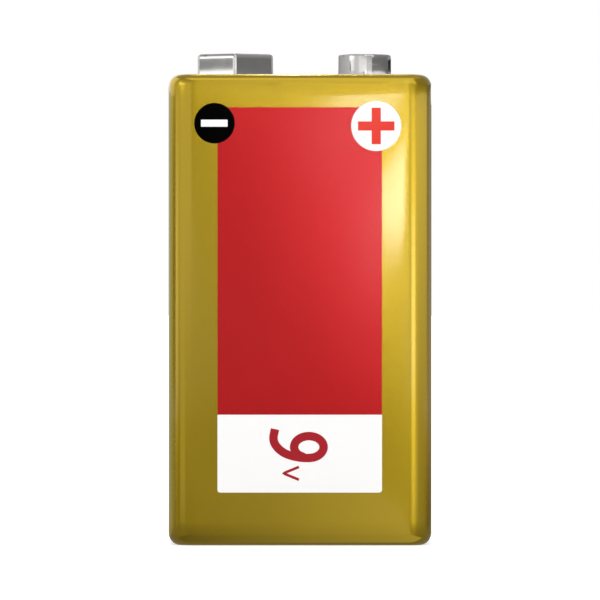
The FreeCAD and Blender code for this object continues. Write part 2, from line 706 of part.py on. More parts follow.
for cell_number, (cell_column, cell_row, cell_up) in enumerate(CELLS, start=1):
    parts += make_cell(cell_number, cell_column, cell_row, cell_up)

doc.recompute()

for item in doc.Objects:
    if "Invalid" in item.State or "Error" in item.State:
        raise RuntimeError(f"{item.Label} isn't valid: {item.State}")
for part in parts:
    if part.Shape.isNull() or not part.Shape.isValid() or len(part.Shape.Solids) != 1:
        raise RuntimeError(f"{part.Label} isn't one valid solid")

os.makedirs("parts", exist_ok=True)
for part in parts:
    part.Shape.exportStep(f"parts/{part.Label}.step")
print(len(parts), "parts written")
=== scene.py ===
# %% [markdown]
# # A nine volt battery in a gold printed jacket
# The CAD model gives the exact places of every part. This lesson dresses it: smooth sheet metal for the
# folded jacket and the two snap terminals, thin ink films for the print, and a soft studio round it.

# %% Load the frame
import json
import math

import bpy
import numpy as np
from mathutils import Euler, Matrix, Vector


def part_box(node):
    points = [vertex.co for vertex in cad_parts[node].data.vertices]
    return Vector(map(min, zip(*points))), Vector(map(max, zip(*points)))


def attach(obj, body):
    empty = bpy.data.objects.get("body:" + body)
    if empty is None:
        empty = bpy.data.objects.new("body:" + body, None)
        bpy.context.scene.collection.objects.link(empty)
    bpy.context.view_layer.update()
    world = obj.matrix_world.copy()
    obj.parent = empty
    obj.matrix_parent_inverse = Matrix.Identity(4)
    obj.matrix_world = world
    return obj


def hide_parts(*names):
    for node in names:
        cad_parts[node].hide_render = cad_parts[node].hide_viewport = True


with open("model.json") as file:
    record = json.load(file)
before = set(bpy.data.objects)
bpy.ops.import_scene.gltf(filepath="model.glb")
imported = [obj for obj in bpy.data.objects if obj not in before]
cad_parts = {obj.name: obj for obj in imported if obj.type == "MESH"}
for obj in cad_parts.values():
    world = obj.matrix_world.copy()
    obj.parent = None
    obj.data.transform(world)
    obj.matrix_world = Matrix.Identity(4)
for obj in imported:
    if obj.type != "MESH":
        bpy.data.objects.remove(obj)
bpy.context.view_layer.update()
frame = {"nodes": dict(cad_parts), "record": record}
MM = 0.001
scene = bpy.context.scene

# %% [markdown]
# ## Sizes
# The main sizes that the dressing shares with the solids are read from the CAD nodes, so these can't
# drift apart. All shapes below are worked out in millimetres and become metres when their mesh is made.

# %% Read the main sizes
HALF_WIDE, HALF_DEEP, TALL = np.array(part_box("jacket")[1]) / MM
stud_low, stud_high = (np.array(corner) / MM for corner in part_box("positive_stud"))
socket_low, socket_high = (np.array(corner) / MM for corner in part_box("negative_socket"))
STUD_SIDE = (stud_low[0] + stud_high[0]) / 2
SOCKET_SIDE = (socket_low[0] + socket_high[0]) / 2
SEAT, TOP = stud_low[2], stud_high[2]
print("jacket", HALF_WIDE * 2, HALF_DEEP * 2, TALL)
print("terminals at", STUD_SIDE, SOCKET_SIDE, "from", SEAT, "to", TOP)

# %% [markdown]
# ## Meshes from arrays
# A surface here is a table of points: rows run along a profile, columns run round or across it. Neighbours
# are joined by four-sided faces, and the sign of the volume that they enclose tells whether they point
# outward. This is quicker and cleaner than modelling by hand, and it stays exact.


# %% Join a table of points with faces
def join_neighbours(rows, columns, wrap_rows, wrap_columns):
    """Four corners of each face: a point, the next in its row, and the same two in the next row."""
    row_starts = np.arange(rows - (not wrap_rows))
    column_starts = np.arange(columns - (not wrap_columns))
    row, column = np.meshgrid(row_starts, column_starts, indexing="ij")
    below, beside = (row + 1) % rows, (column + 1) % columns
    corners = [row * columns + column, row * columns + beside,
               below * columns + beside, below * columns + column]
    return np.stack(corners, -1).reshape(-1, 4)


def enclosed_volume(points, faces):
    """A sixth of the triple product of each triangle's corners, added up, seen from the middle."""
    centred = points - points.mean(0)
    a, b, c, d = (centred[faces[:, k]] for k in range(4))
    halves = [(a * np.cross(b, c)).sum(), (a * np.cross(c, d)).sum()]
    return sum(halves) / 6


print("3 by 4 points make", len(join_neighbours(3, 4, False, False)), "faces")

# %% [markdown]
# ## From points to a piece
# Every piece is made in one way. Its points become metres, its faces are turned outward, and only the
# edges that are sharper than a bend stay crisp. Each point also keeps a number called edge, which the
# finishes read as wear. The piece rides on the battery's one body and may replace the plain solid.


# %% Make a piece of points and faces
def add_piece(name, points, faces, material, slot, edge, replaced=(), sharp=50):
    """A mesh object from points in mm and faces of four corners, of which a pole's face repeats one."""
    if enclosed_volume(points, faces) < 0:
        faces = faces[:, ::-1]
    keep = faces != np.roll(faces, 1, axis=1)
    polygons = [tuple(face[kept].tolist()) for face, kept in zip(faces, keep)]
    mesh = bpy.data.meshes.new(name)
    mesh.from_pydata((points * MM).tolist(), [], polygons)
    mesh.polygons.foreach_set("use_smooth", np.ones(len(polygons), bool))
    mesh.set_sharp_from_angle(angle=math.radians(sharp))
    mesh.attributes.new("edge", "FLOAT", "POINT").data.foreach_set("value", np.asarray(edge, float))
    mesh.materials.append(material)
    piece = bpy.data.objects.new(name, mesh)
    scene.collection.objects.link(piece)
    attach(piece, "root")
    if replaced:
        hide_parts(*replaced)
    print(name, len(polygons), "faces from", points.min(0).round(2), "to", points.max(0).round(2))
    return piece


# %% [markdown]
# ## Closing a grid
# The section of the jacket or the stud is a closed loop, so its rows run round in a circle too and it needs
# no ends. A film or a rivet does: all points of its first and last ring are joined to one new point in the
# ring's middle, called a pole.


# %% Make a piece of a closed grid
def grid_piece(name, grid, material, slot, edge=0.0, poles=False, **more):
    """Columns wrap round, and rows wrap too or end in two poles, each the mean of its ring's points."""
    rows, columns = grid.shape[:2]
    points = grid.reshape(-1, 3)
    faces = join_neighbours(rows, columns, not poles, True)
    edge = np.broadcast_to(edge, (rows, columns)).ravel()
    if poles:
        first, last = len(points), len(points) + 1
        points = np.vstack([points, grid[0].mean(0), grid[-1].mean(0)])
        ring = np.arange(columns)
        following = (ring + 1) % columns
        end = (rows - 1) * columns
        under = np.stack([np.full(columns, first)] * 2 + [following, ring], 1)
        over = np.stack([np.full(columns, last)] * 2 + [end + ring, end + following], 1)
        faces = np.vstack([faces, under, over])
        edge = np.append(edge, [0, 0])
    return add_piece(name, points, faces, material, slot, edge, **more)


# %% [markdown]
# ## Round corners
# Pressed sheet has no sharp corner. This helper takes a polygon and turns each corner into an arc. A Bevel
# modifier could do that as well, but here each bend has a radius of its own, and the direction of travel
# at each point is wanted too.


# %% Round the corners of a profile
def round_corners(corners, radii, steps=8):
    """Each corner as an arc: its centre lies a radius inside both edges, and it turns evenly between them.

    Returns the points and the direction of travel at each, as two tables of two columns."""
    corners = np.asarray(corners, float)
    radii = np.broadcast_to(np.asarray(radii, float), (len(corners),))[:, None]
    arriving = corners - np.roll(corners, 1, 0)
    arriving /= np.linalg.norm(arriving, axis=1, keepdims=True)
    leaving = np.roll(arriving, -1, 0)
    cross = arriving[:, 0] * leaving[:, 1] - arriving[:, 1] * leaving[:, 0]
    turn = np.arctan2(cross, (arriving * leaving).sum(1))[:, None]
    left = np.stack([-arriving[:, 1], arriving[:, 0]], 1)
    start = corners - arriving * radii * np.tan(np.abs(turn) / 2)
    reach = left * radii * np.sign(turn)
    angle = turn * np.linspace(0, 1, steps + 1)
    cosine, sine = np.cos(angle)[..., None], np.sin(angle)[..., None]

    def turned(vector):
        """A vector turned by each angle: cosine times itself plus sine times its left-hand side."""
        side = np.stack([-vector[:, 1], vector[:, 0]], 1)
        return vector[:, None] * cosine + side[:, None] * sine

    points = (start + reach)[:, None] - turned(reach)
    return points.reshape(-1, 2), turned(arriving).reshape(-1, 2)


print("a square of round corners has", len(round_corners([(0, 0), (9, 0), (9, 9), (0, 9)], 1)[0]), "points")

# %% [markdown]
# ## Divided straights
# A straight needs points of its own before it can be bulged or stepped. This helper adds them, and carries
# any further columns of the table along, such as the direction of travel.


# %% Divide the long straights
def divide(table, longest, closed=True):
    """Rows added evenly between two neighbours that lie further apart than the longest step."""
    rounding = 1e-9
    ends = np.vstack([table, table[:1]]) if closed else table
    length = np.linalg.norm(np.diff(ends[:, :2], axis=0), axis=1)
    parts = np.maximum(1, np.ceil(length / longest - rounding).astype(int))
    index = np.repeat(np.arange(len(parts)), parts)
    share = (np.arange(len(index)) - np.repeat(np.cumsum(parts) - parts, parts)) / parts[index]
    dense = ends[index] + (ends[index + 1] - ends[index]) * share[:, None]
    return dense if closed else np.vstack([dense, ends[-1:]])


print("a line of 9 in steps of 2 has", len(divide(np.array([(0, 0), (9, 0)]), 2, closed=False)), "points")

# %% [markdown]
# ## Shader tools
# A material in Blender is a graph of nodes. A few small helpers place a node, do a sum or blend two
# colours, so that each material below reads as a list of what it is made of.

# %% Place shader nodes
MIX_SHARE, MIX_FIRST, MIX_SECOND, MIX_RESULT = 0, 6, 7, 2


def feed(tree, socket, value):
    """A socket is linked where the value is another node's output, and else it gets the plain value."""
    if isinstance(value, bpy.types.NodeSocket):
        tree.links.new(value, socket)
    else:
        socket.default_value = value


def add_node(tree, kind, inputs=(), **settings):
    """One node with its settings, and its inputs by name or number."""
    made = tree.nodes.new("ShaderNode" + kind)
    for name, value in settings.items():
        setattr(made, name, value)
    for name, value in dict(inputs).items():
        feed(tree, made.inputs[name], value)
    return made


def calculate(tree, operation, *values):
    """The output of a Math node that works on one, two or three values."""
    return add_node(tree, "Math", enumerate(values), operation=operation).outputs[0]


def blend_colours(tree, share, first, second):
    """The output of a colour Mix node: the first colour where the share is 0, the second where it is 1."""
    made = add_node(tree, "Mix", {MIX_SHARE: share}, data_type="RGBA")
    for socket, value in ((MIX_FIRST, first), (MIX_SECOND, second)):
        feed(tree, made.inputs[socket], (*value, 1) if isinstance(value, tuple) else value)
    return made.outputs[MIX_RESULT]


def object_millimetres(tree):
    """Object coordinates in millimetres: a point's place in its mesh in metres, times a thousand."""
    place = add_node(tree, "TexCoord").outputs["Object"]
    return add_node(tree, "VectorMath", {0: place, "Scale": 1 / MM}, operation="SCALE").outputs[0]


print("a Mix node takes its colours at sockets", MIX_FIRST, MIX_SECOND)

# %% [markdown]
# ## Node groups
# What several finishes share is built once, as a group with named inputs and outputs. Each material then
# places it with values of its own. A group gives out only masks and colours, and the shader stays in the
# material itself.


# %% Start and place a group
def start_group(name, sockets):
    """An empty node group with named inputs and outputs, and its two end nodes."""
    group = bpy.data.node_groups.new(name, "ShaderNodeTree")
    for title, direction, kind, value in sockets:
        socket = group.interface.new_socket(title, in_out=direction, socket_type="NodeSocket" + kind)
        if value is not None:
            socket.default_value = value
    return group, group.nodes.new("NodeGroupInput").outputs, group.nodes.new("NodeGroupOutput").inputs


def place_group(tree, group, **values):
    """The group as a node of a material, with that material's own values."""
    made = tree.nodes.new("ShaderNodeGroup")
    made.node_tree = group
    for title, value in values.items():
        made.inputs[title.replace("_", " ").capitalize()].default_value = value
    return made.outputs


print("groups so far", len(bpy.data.node_groups))

# %% [markdown]
# ## Rolled grain
# Sheet metal keeps fine lines from the rolls, broad clouds where the lacquer is thicker or thinner, and a
# few hair scratches. All three are noise read in Object coordinates, squeezed along one axis for the lines.
# They are one node group, because the jacket, the terminals, the straps and the cans all show them.

# %% Rolled grain as a node group
SCRATCH_TILT, SCRATCH_SCALE, SCRATCH_SOFT = (0.12, 0.2, 0.15), 0.35, 0.03
grain_group, given, result = start_group("rolled_grain", [
    ("Stretch", "INPUT", "Vector", (1.0, 1.0, 14.0)),
    ("Grain size", "INPUT", "Float", 1.2),
    ("Cloud size", "INPUT", "Float", 0.12),
    ("Scratch limit", "INPUT", "Float", 0.7),
    ("Grain", "OUTPUT", "Float", None),
    ("Cloud", "OUTPUT", "Float", None),
    ("Scratch", "OUTPUT", "Float", None),
])
place = object_millimetres(grain_group)
stretched = add_node(grain_group, "VectorMath", {0: place, 1: given["Stretch"]}, operation="MULTIPLY")
squeezed = stretched.outputs[0]
fine = add_node(grain_group, "TexNoise", {"Vector": squeezed, "Scale": given["Grain size"], "Detail": 3.0})
broad = add_node(grain_group, "TexNoise", {"Vector": place, "Scale": given["Cloud size"], "Detail": 2.0})
tilted = add_node(grain_group, "Mapping", {"Vector": squeezed, "Rotation": SCRATCH_TILT}).outputs[0]
hair = add_node(grain_group, "TexNoise", {"Vector": tilted, "Scale": SCRATCH_SCALE, "Detail": 1.0})
limit = calculate(grain_group, "ADD", given["Scratch limit"], SCRATCH_SOFT)
line = add_node(grain_group, "MapRange", {"Value": hair.outputs[0], 1: given["Scratch limit"], 2: limit})
grain_group.links.new(fine.outputs[0], result["Grain"])
grain_group.links.new(broad.outputs[0], result["Cloud"])
grain_group.links.new(line.outputs[0], result["Scratch"])
print("group", grain_group.name, [item.name for item in grain_group.interface.items_tree])

# %% [markdown]
# ## Worn edges
# Lacquer and plating thin out first where the sheet is bent. Each new mesh carries a number called edge,
# 1 along its bends and rims, and this group breaks it up with noise into small rubbed patches.

# %% Worn edges as a node group
LEAST_WORN, WEAR_REACH, WEAR_SOFT = 0.75, 0.5, 0.08
wear_group, given, result = start_group("worn_edge", [
    ("Amount", "INPUT", "Float", 0.5),
    ("Patch size", "INPUT", "Float", 1.5),
    ("Wear", "OUTPUT", "Float", None),
])
place = object_millimetres(wear_group)
patches = add_node(wear_group, "TexNoise", {"Vector": place, "Scale": given["Patch size"], "Detail": 4.0})
bend = add_node(wear_group, "Attribute", attribute_name="edge").outputs["Fac"]
reached = calculate(wear_group, "MULTIPLY", bend, patches.outputs[0])
lowered = calculate(wear_group, "MULTIPLY", given["Amount"], WEAR_REACH)
start = calculate(wear_group, "SUBTRACT", LEAST_WORN, lowered)
full = calculate(wear_group, "ADD", start, WEAR_SOFT)
rubbed = add_node(wear_group, "MapRange", {"Value": reached, 1: start, 2: full})
wear_group.links.new(rubbed.outputs[0], result["Wear"])
print("group", wear_group.name, [item.name for item in wear_group.interface.items_tree])

# %% [markdown]
# ## One recipe for every finish
# Metal, ink and plastic differ in a few numbers: how far two tones differ, how rough they are, whether the
# base is metal, and how deep the grain is. One function builds the graph from them: grain and cloud mix two
# tones, scratches and wear change tone and roughness, and a Bump node turns the grain into relief.

# %% Build a finish
GRAIN_SHARE, CLOUD_SHARE = 0.35, 0.65
TONE_FROM, TONE_TO, ROUGH_FROM, ROUGH_TO = 0.35, 0.65, 0.3, 0.7
SCRATCH_TONE, SCRATCH_DEEP, SCRATCH_ROUGH = 0.12, 0.6, 0.05


def make_finish(name, tones, roughness, metallic=0.0, coat=0.0, coat_rough=0.1, coat_ior=1.5, specular=0.5,
                stretch=(1.0, 1.0, 14.0), grain_size=1.2, cloud_size=0.12, relief=0.02, scratches=0.7,
                worn=(0.5, 0.5, 0.5), wear=0.4, patch=1.5):
    """A Principled material. Tones and roughness are each a low and a high value, and the mean of grain and
    cloud, each with its share, moves between them. The relief is the grain's height in millimetres."""
    material = bpy.data.materials.new(name)
    material.use_nodes = True
    tree = material.node_tree
    shader = tree.nodes["Principled BSDF"]
    grain, cloud, scratch = place_group(tree, grain_group, stretch=stretch, grain_size=grain_size,
                                        cloud_size=cloud_size, scratch_limit=scratches)
    rubbed = place_group(tree, wear_group, amount=wear, patch_size=patch)[0]
    mixed = calculate(tree, "MULTIPLY_ADD", grain, GRAIN_SHARE,
                      calculate(tree, "MULTIPLY", cloud, CLOUD_SHARE))
    share = add_node(tree, "MapRange", {"Value": mixed, 1: TONE_FROM, 2: TONE_TO})
    plain = blend_colours(tree, share.outputs[0], *tones)
    marked = blend_colours(tree, calculate(tree, "MULTIPLY", scratch, SCRATCH_TONE), plain, worn)
    feed(tree, shader.inputs["Base Color"], blend_colours(tree, rubbed, marked, worn))
    spread = add_node(tree, "MapRange", {"Value": mixed, 1: ROUGH_FROM, 2: ROUGH_TO,
                                         3: roughness[0], 4: roughness[1]})
    marks = calculate(tree, "MAXIMUM", scratch, rubbed)
    rougher = calculate(tree, "MULTIPLY_ADD", marks, SCRATCH_ROUGH, spread.outputs[0])
    feed(tree, shader.inputs["Roughness"], rougher)
    height = calculate(tree, "SUBTRACT", grain, calculate(tree, "MULTIPLY", scratch, SCRATCH_DEEP))
    bump = add_node(tree, "Bump", {"Height": height, "Strength": 1.0, "Distance": relief * MM})
    feed(tree, shader.inputs["Normal"], bump.outputs[0])
    shader.inputs["Metallic"].default_value = metallic
    shader.inputs["Coat Weight"].default_value = coat
    shader.inputs["Coat Roughness"].default_value = coat_rough
    shader.inputs["Coat IOR"].default_value = coat_ior
    shader.inputs["Specular IOR Level"].default_value = specular
    print("finish", name)
    return material


# %% [markdown]
# ## Gold lacquer and the inks
# The jacket is tinned steel under a clear gold lacquer: the metal gives the colour and a thin glossy coat
# gives the white lights. The red of the panel is a clear ink on that metal, so it shines through as metal
# does. The other inks cover it and look like smooth paint, which is a rougher base that isn't metal.

# %% Make the gold and the inks
gold = make_finish("gold_lacquer", [(0.62, 0.418, 0.0085), (0.64, 0.434, 0.0105)], (0.195, 0.21),
                   metallic=1.0, coat=1.0, coat_rough=0.07, coat_ior=1.45, relief=0.00003,
                   worn=(0.6, 0.5, 0.22), wear=0.1, scratches=0.78)
red_ink = make_finish("red_ink", [(0.65, 0.008, 0.010), (0.68, 0.010, 0.013)], (0.22, 0.24),
                      metallic=0.75, coat=0.65, coat_rough=0.14, specular=0.0, relief=0.00003,
                      worn=(0.62, 0.1, 0.08), wear=0.0, scratches=0.8)
bright_red_ink = make_finish("bright_red_ink", [(0.8, 0.05, 0.035), (0.84, 0.06, 0.04)], (0.24, 0.3),
                             coat=0.3, coat_ior=1.3, specular=0.0, relief=0.0001,
                             worn=(0.62, 0.1, 0.08), wear=0.0, scratches=0.76)
white_ink = make_finish("white_ink", [(0.972, 0.972, 0.968), (0.985, 0.985, 0.983)], (0.36, 0.42),
                        coat=0.2, coat_rough=0.2, coat_ior=1.3, relief=0.0002,
                        worn=(0.8, 0.8, 0.78), wear=0.0, scratches=0.78)
black_ink = make_finish("black_ink", [(0.001, 0.001, 0.0012), (0.002, 0.002, 0.0024)], (0.42, 0.5),
                        specular=0.0, relief=0.0005, worn=(0.02, 0.02, 0.022), wear=0.0, scratches=0.78)
deep_red_ink = make_finish("deep_red_ink", [(0.37, 0.012, 0.02), (0.42, 0.014, 0.024)], (0.4, 0.46),
                           specular=0.1, relief=0.0005, worn=(0.45, 0.08, 0.08), wear=0.0, scratches=0.78)

# %% [markdown]
# ## Plated and plain metal
# The two terminals are nickel-plated and mirror the room, so their roughness is low and their edges are
# rubbed a little. The straps, the leads and the cans inside are plain bright steel, with a rougher grain.

# %% Make the metals
nickel = make_finish("nickel_plating", [(0.7, 0.69, 0.67), (0.76, 0.75, 0.73)], (0.06, 0.09),
                     metallic=1.0, relief=0.0002, stretch=(1.0, 1.0, 10.0), grain_size=2.0, cloud_size=0.5,
                     worn=(0.5, 0.49, 0.46), wear=0.35, patch=3.0)
steel = make_finish("bright_steel", [(0.45, 0.45, 0.44), (0.6, 0.6, 0.58)], (0.24, 0.36),
                    metallic=1.0, relief=0.001, stretch=(8.0, 1.0, 1.0), grain_size=1.5, cloud_size=0.3,
                    worn=(0.7, 0.7, 0.68))
can_steel = make_finish("can_steel", [(0.5, 0.49, 0.46), (0.62, 0.61, 0.58)], (0.2, 0.32),
                        metallic=1.0, relief=0.001, worn=(0.7, 0.69, 0.66))

# %% [markdown]
# ## Moulding, card and film
# The end plates are moulded in black plastic with a fine even texture. The cards are rough grey board whose
# fibres lie one way. The liner and the sleeves are thin pale film, smoother than the card and a little
# cloudy. None of them is metal.

# %% Make the plastics and the card
black_plastic = make_finish("black_moulding", [(0.012, 0.012, 0.013), (0.022, 0.022, 0.023)], (0.42, 0.58),
                            relief=0.012, stretch=(1.0, 1.0, 1.0), grain_size=6.0, cloud_size=0.25,
                            worn=(0.05, 0.05, 0.052), scratches=0.72)
grey_card = make_finish("grey_card", [(0.2, 0.19, 0.165), (0.3, 0.285, 0.25)], (0.8, 0.95),
                        relief=0.03, stretch=(4.0, 1.0, 1.0), grain_size=1.6, cloud_size=0.4,
                        worn=(0.4, 0.38, 0.34))
liner = make_finish("liner_film", [(0.62, 0.61, 0.56), (0.7, 0.69, 0.64)], (0.3, 0.42),
                    relief=0.004, cloud_size=0.2, worn=(0.75, 0.74, 0.7))
sleeve = make_finish("sleeve_film", [(0.66, 0.66, 0.63), (0.74, 0.74, 0.72)], (0.2, 0.32),
                     relief=0.003, cloud_size=0.3, worn=(0.8, 0.8, 0.78))

# %% [markdown]
# ## Finishes for the CAD parts
# Plates, straps, cells and liner are plain pressed or moulded shapes that the solids already have exactly,
# so they stay, and only their material slots are filled. The record says which slot each node has.

# %% Dress the CAD nodes
finish_of_slot = {"gold_sheet": gold, "black_plate": black_plastic, "nickel_plate": nickel,
                  "nickel_tab": steel, "grey_card": grey_card, "liner_film": liner,
                  "cell_steel": can_steel, "sleeve_film": sleeve}
for part in frame["record"]["subparts"]:
    node = frame["nodes"][part["node"]]
    node.data.materials.clear()
    node.data.materials.append(finish_of_slot[part["material_slot"]])

# %% [markdown]
# ## The jacket's plan
# Seen from above the jacket is a rounded rectangle. Its columns follow that outline with the outward
# direction kept at each, because moving every column straight inward by one amount gives a smaller
# rounded rectangle. Two columns lie almost on one place at the lap seam on the back, for its sharp step.

# %% Columns round the jacket
CORNER, CORNER_STEPS, WIDEST_COLUMN = 2.4, 16, 0.55
SEAM_IN, SEAM_RAMP, SEAM_STEP, SEAM_GAP = 2.7, 3.6, 0.15, 0.008
SEAM_SIDE = HALF_WIDE - CORNER - SEAM_IN
upright_corners = [(-HALF_WIDE, HALF_DEEP), (-HALF_WIDE, -HALF_DEEP), (HALF_WIDE, -HALF_DEEP),
                   (HALF_WIDE, HALF_DEEP)]
plan, travel = round_corners(upright_corners, CORNER, CORNER_STEPS)
plan = divide(np.hstack([plan, travel]), WIDEST_COLUMN)
plan = np.vstack([plan, plan[:1]])
run = np.append(0, np.cumsum(np.linalg.norm(np.diff(plan[:, :2], axis=0), axis=1)))
seam_sides = np.array([SEAM_SIDE, SEAM_SIDE - SEAM_GAP, SEAM_SIDE - SEAM_RAMP])
seam_runs = run[-1] - (seam_sides - plan[0, 0])
column_runs = np.unique(np.concatenate([run[:-1], seam_runs]))
columns = np.stack([np.interp(column_runs, run, plan[:, k]) for k in range(4)], 1)
outward = np.stack([columns[:, 3], -columns[:, 2]], 1)
outward /= np.linalg.norm(outward, axis=1, keepdims=True)
print(len(columns), "columns, seam at x", round(SEAM_SIDE, 2))

# %% [markdown]
# ## A face that isn't quite flat
# Rolled sheet round a stack of cells bows out a little in the middle of each face. The front's bow is only
# a quarter of a millimetre and the others' is less, but it lets a light fade across the gold instead of
# filling it at once.

# %% How far the sheet stands in from the plain box
FRONT_BOW, SIDE_BOW, BACK_BOW, PRINT_ROOM = 0.25, 0.15, 0.1, 0.05
BEND = 1.1
SQUARE = 0.999


def stand_in(across, up, facing):
    """Inset of the sheet: the bow at the corners, and less towards a face's middle.

    across runs from 0 at a face's middle to 1 at its corners, and up from 0 at half height to 1 at the
    rims; the inset grows with 1 - (1 - across^2)(1 - up^2). facing is -1 on the front and 1 on the back.
    The front starts from the room that the print needs. A side keeps one bow for all heights. It bows less
    than the front, so that seen from the front the round corner stays the outline. The back bows least,
    because the lap stands in too."""
    rise = np.where(np.abs(facing) > SQUARE, up ** 2, 0)
    least = np.where(facing < -SQUARE, PRINT_ROOM, 0)
    most = np.interp(facing, [-1, 0, 1], [FRONT_BOW, SIDE_BOW, BACK_BOW])
    return least + (most - least) * (1 - (1 - across ** 2) * (1 - rise))


def height_share(z):
    """0 at half height and 1 at and beyond the rims' bends."""
    return np.clip(np.abs(z - TALL / 2) / (TALL / 2 - BEND), 0, 1)


def front_face(x, z):
    """The y of the jacket's front at x and z: the plain box's front, set back by the inset."""
    across = np.clip(np.abs(x) / (HALF_WIDE - CORNER), 0, 1)
    return -HALF_DEEP + stand_in(across, height_share(z), np.full_like(x, -1.0))


print("front at the middle", front_face(np.array([0.0]), np.array([TALL / 2])))

# %% [markdown]
# ## The rolled rims
# The sheet's section goes up the outside, rolls over the crest, and turns down onto the plate as a short
# lip, then comes back on the inside. The same section is carried round the whole plan, so the jacket is
# one closed sheet with a real thickness. A third column tells how far each point follows the bow: the
# outside does, the flat inner wall doesn't, and the two inner bends lead from one to the other.

# %% The section of the jacket's sheet
LAND, LIP, LIP_TURN, SHEET = 0.3, 0.6, math.radians(30), 0.3
LIP_BEND, LIP_EDGE, LIP_INNER_BEND = 0.5, 0.13, 0.2
BEND_STEPS, TALLEST_ROW = 9, 1.2
lip_start = BEND + LAND
tip = (lip_start + LIP * math.cos(LIP_TURN), LIP * math.sin(LIP_TURN))
tip_under = (tip[0] - SHEET * math.sin(LIP_TURN), tip[1] + SHEET * math.cos(LIP_TURN))
under_start = (lip_start - SHEET * math.tan(LIP_TURN / 2), SHEET)
rim = np.array([(0, 0), (lip_start, 0), tip, tip_under, under_start, (SHEET, SHEET)])
rim_radii = [BEND, LIP_BEND, LIP_EDGE, LIP_EDGE, LIP_INNER_BEND, BEND - SHEET]
top_rim = np.stack([rim[:, 0], TALL - rim[:, 1]], 1)
section, _ = round_corners(np.vstack([top_rim, rim[::-1]]), rim_radii + rim_radii[::-1], BEND_STEPS)
follow = np.ones((2 * len(rim), BEND_STEPS + 1))
follow[len(rim) - 1] = np.linspace(1, 0, BEND_STEPS + 1)
follow[len(rim)] = np.linspace(0, 1, BEND_STEPS + 1)
section = divide(np.hstack([section, follow.reshape(-1, 1)]), TALLEST_ROW)
inset, height, follow = (section[:, k, None] for k in range(3))
print(len(section), "rows, rims", round(tip[0], 2), "mm deep")

# %% [markdown]
# ## Bow, lap and pleats
# Three things move the sheet away from its plain section. The faces bow. On the back one end of the sheet
# lies over the other, so the outer end stands proud by a small step and ramps away, and near the rims,
# where both ends are rolled together, the step fades. At each upright corner the lip is gathered into three
# small pleats, because there is too much sheet for the tighter round.

# %% Carry the section round the plan
SEAM_FADE, ON_FACE = 5, 0.01
PLEATS, PLEAT_HIGH, PLEAT_FADE = 3, 0.045, 0.5
RUBBED_BEND, LIP_MIDDLE = 0.4, 1.9
column_x, column_y = columns[None, :, 0], columns[None, :, 1]
facing = outward[None, :, 1]
across = np.where(np.abs(facing) > SQUARE, np.abs(column_x) / (HALF_WIDE - CORNER), 1)
across = np.where(np.abs(facing) < 1 - SQUARE, np.abs(column_y) / (HALF_DEEP - CORNER), across)
bowed = stand_in(np.clip(across, 0, 1), height_share(height), facing) * follow
seam_end = np.clip(np.minimum(height - BEND, TALL - BEND - height) / SEAM_FADE, 0, 1)
in_seam = seam_end ** 2 * (3 - 2 * seam_end) * (inset < ON_FACE)
behind = (facing > SQUARE) & (column_x < SEAM_SIDE - SEAM_GAP / 2)
lap = SEAM_STEP * np.clip((column_x - SEAM_SIDE + SEAM_RAMP) / SEAM_RAMP, 0, 1) * behind * in_seam
depth = inset + bowed + lap
corner_angle = np.arctan2(np.abs(outward[:, 1]), np.abs(outward[:, 0]))[None]
gathered = np.sin(2 * PLEATS * corner_angle) ** 2 * np.sin(2 * corner_angle)
pleat = PLEAT_HIGH * gathered * np.clip((inset - lip_start) / PLEAT_FADE, 0, 1)
jacket_grid = np.stack([column_x - depth * outward[None, :, 0], column_y - depth * outward[None, :, 1],
                        height + np.where(height > TALL / 2, pleat, -pleat)], -1)
lap_edge = (np.abs(column_x - SEAM_SIDE) < ON_FACE) & (facing > SQUARE)
bent = np.maximum(np.minimum(inset / RUBBED_BEND, 1) * (inset < LIP_MIDDLE), lap_edge * in_seam)
grid_piece("jacket_skin", jacket_grid, gold, "gold_sheet", edge=bent, replaced=["jacket"])

# %% [markdown]
# ## Ink films
# The print is a few flat shapes of ink. Each is made as a very thin closed film that follows the bowed
# front: rings shrink from the outline to the middle on the face, and again on the underside, which lies a
# hair inside the sheet. The films lie on each other as printed: panel, then disc, then sign.

# %% Films that follow the front
PANEL_LIFT, DISC_LIFT, SIGN_LIFT, SUNK = 0.02, 0.035, 0.05, 0.004
FIRST_RING, FILM_SHARP = 0.02, 30


def add_film(name, outline, lift, material, rings=12):
    """Rings are the middle plus a growing share of the way to the outline, out on the face and back under."""
    middle = outline.mean(0)
    shares = np.linspace(FIRST_RING, 1, rings)
    reach = np.concatenate([shares, shares[::-1]])[:, None, None]
    rise = np.repeat([lift, -SUNK], rings)[:, None]
    flat = middle + (outline - middle)[None] * reach
    front = front_face(flat[..., 0], flat[..., 1]) - rise
    grid = np.stack([flat[..., 0], front, flat[..., 1]], -1)
    return grid_piece(name, grid, material, "gold_sheet", poles=True, sharp=FILM_SHARP)


def rectangle(left, right, low, high, radii, longest=0.7):
    """A rectangle with round corners, its sides divided, as points of x and z."""
    corners, _ = round_corners([(left, low), (right, low), (right, high), (left, high)], radii, 4)
    return divide(corners, longest)


print("films stand", PANEL_LIFT, DISC_LIFT, SIGN_LIFT, "mm proud")

# %% [markdown]
# ## The two panels
# A tall red panel fills most of the front, and a shorter white one carries the voltage under it. They meet
# on one line, so one value ends the first and starts the second. The lower corners are cut a little rounder.

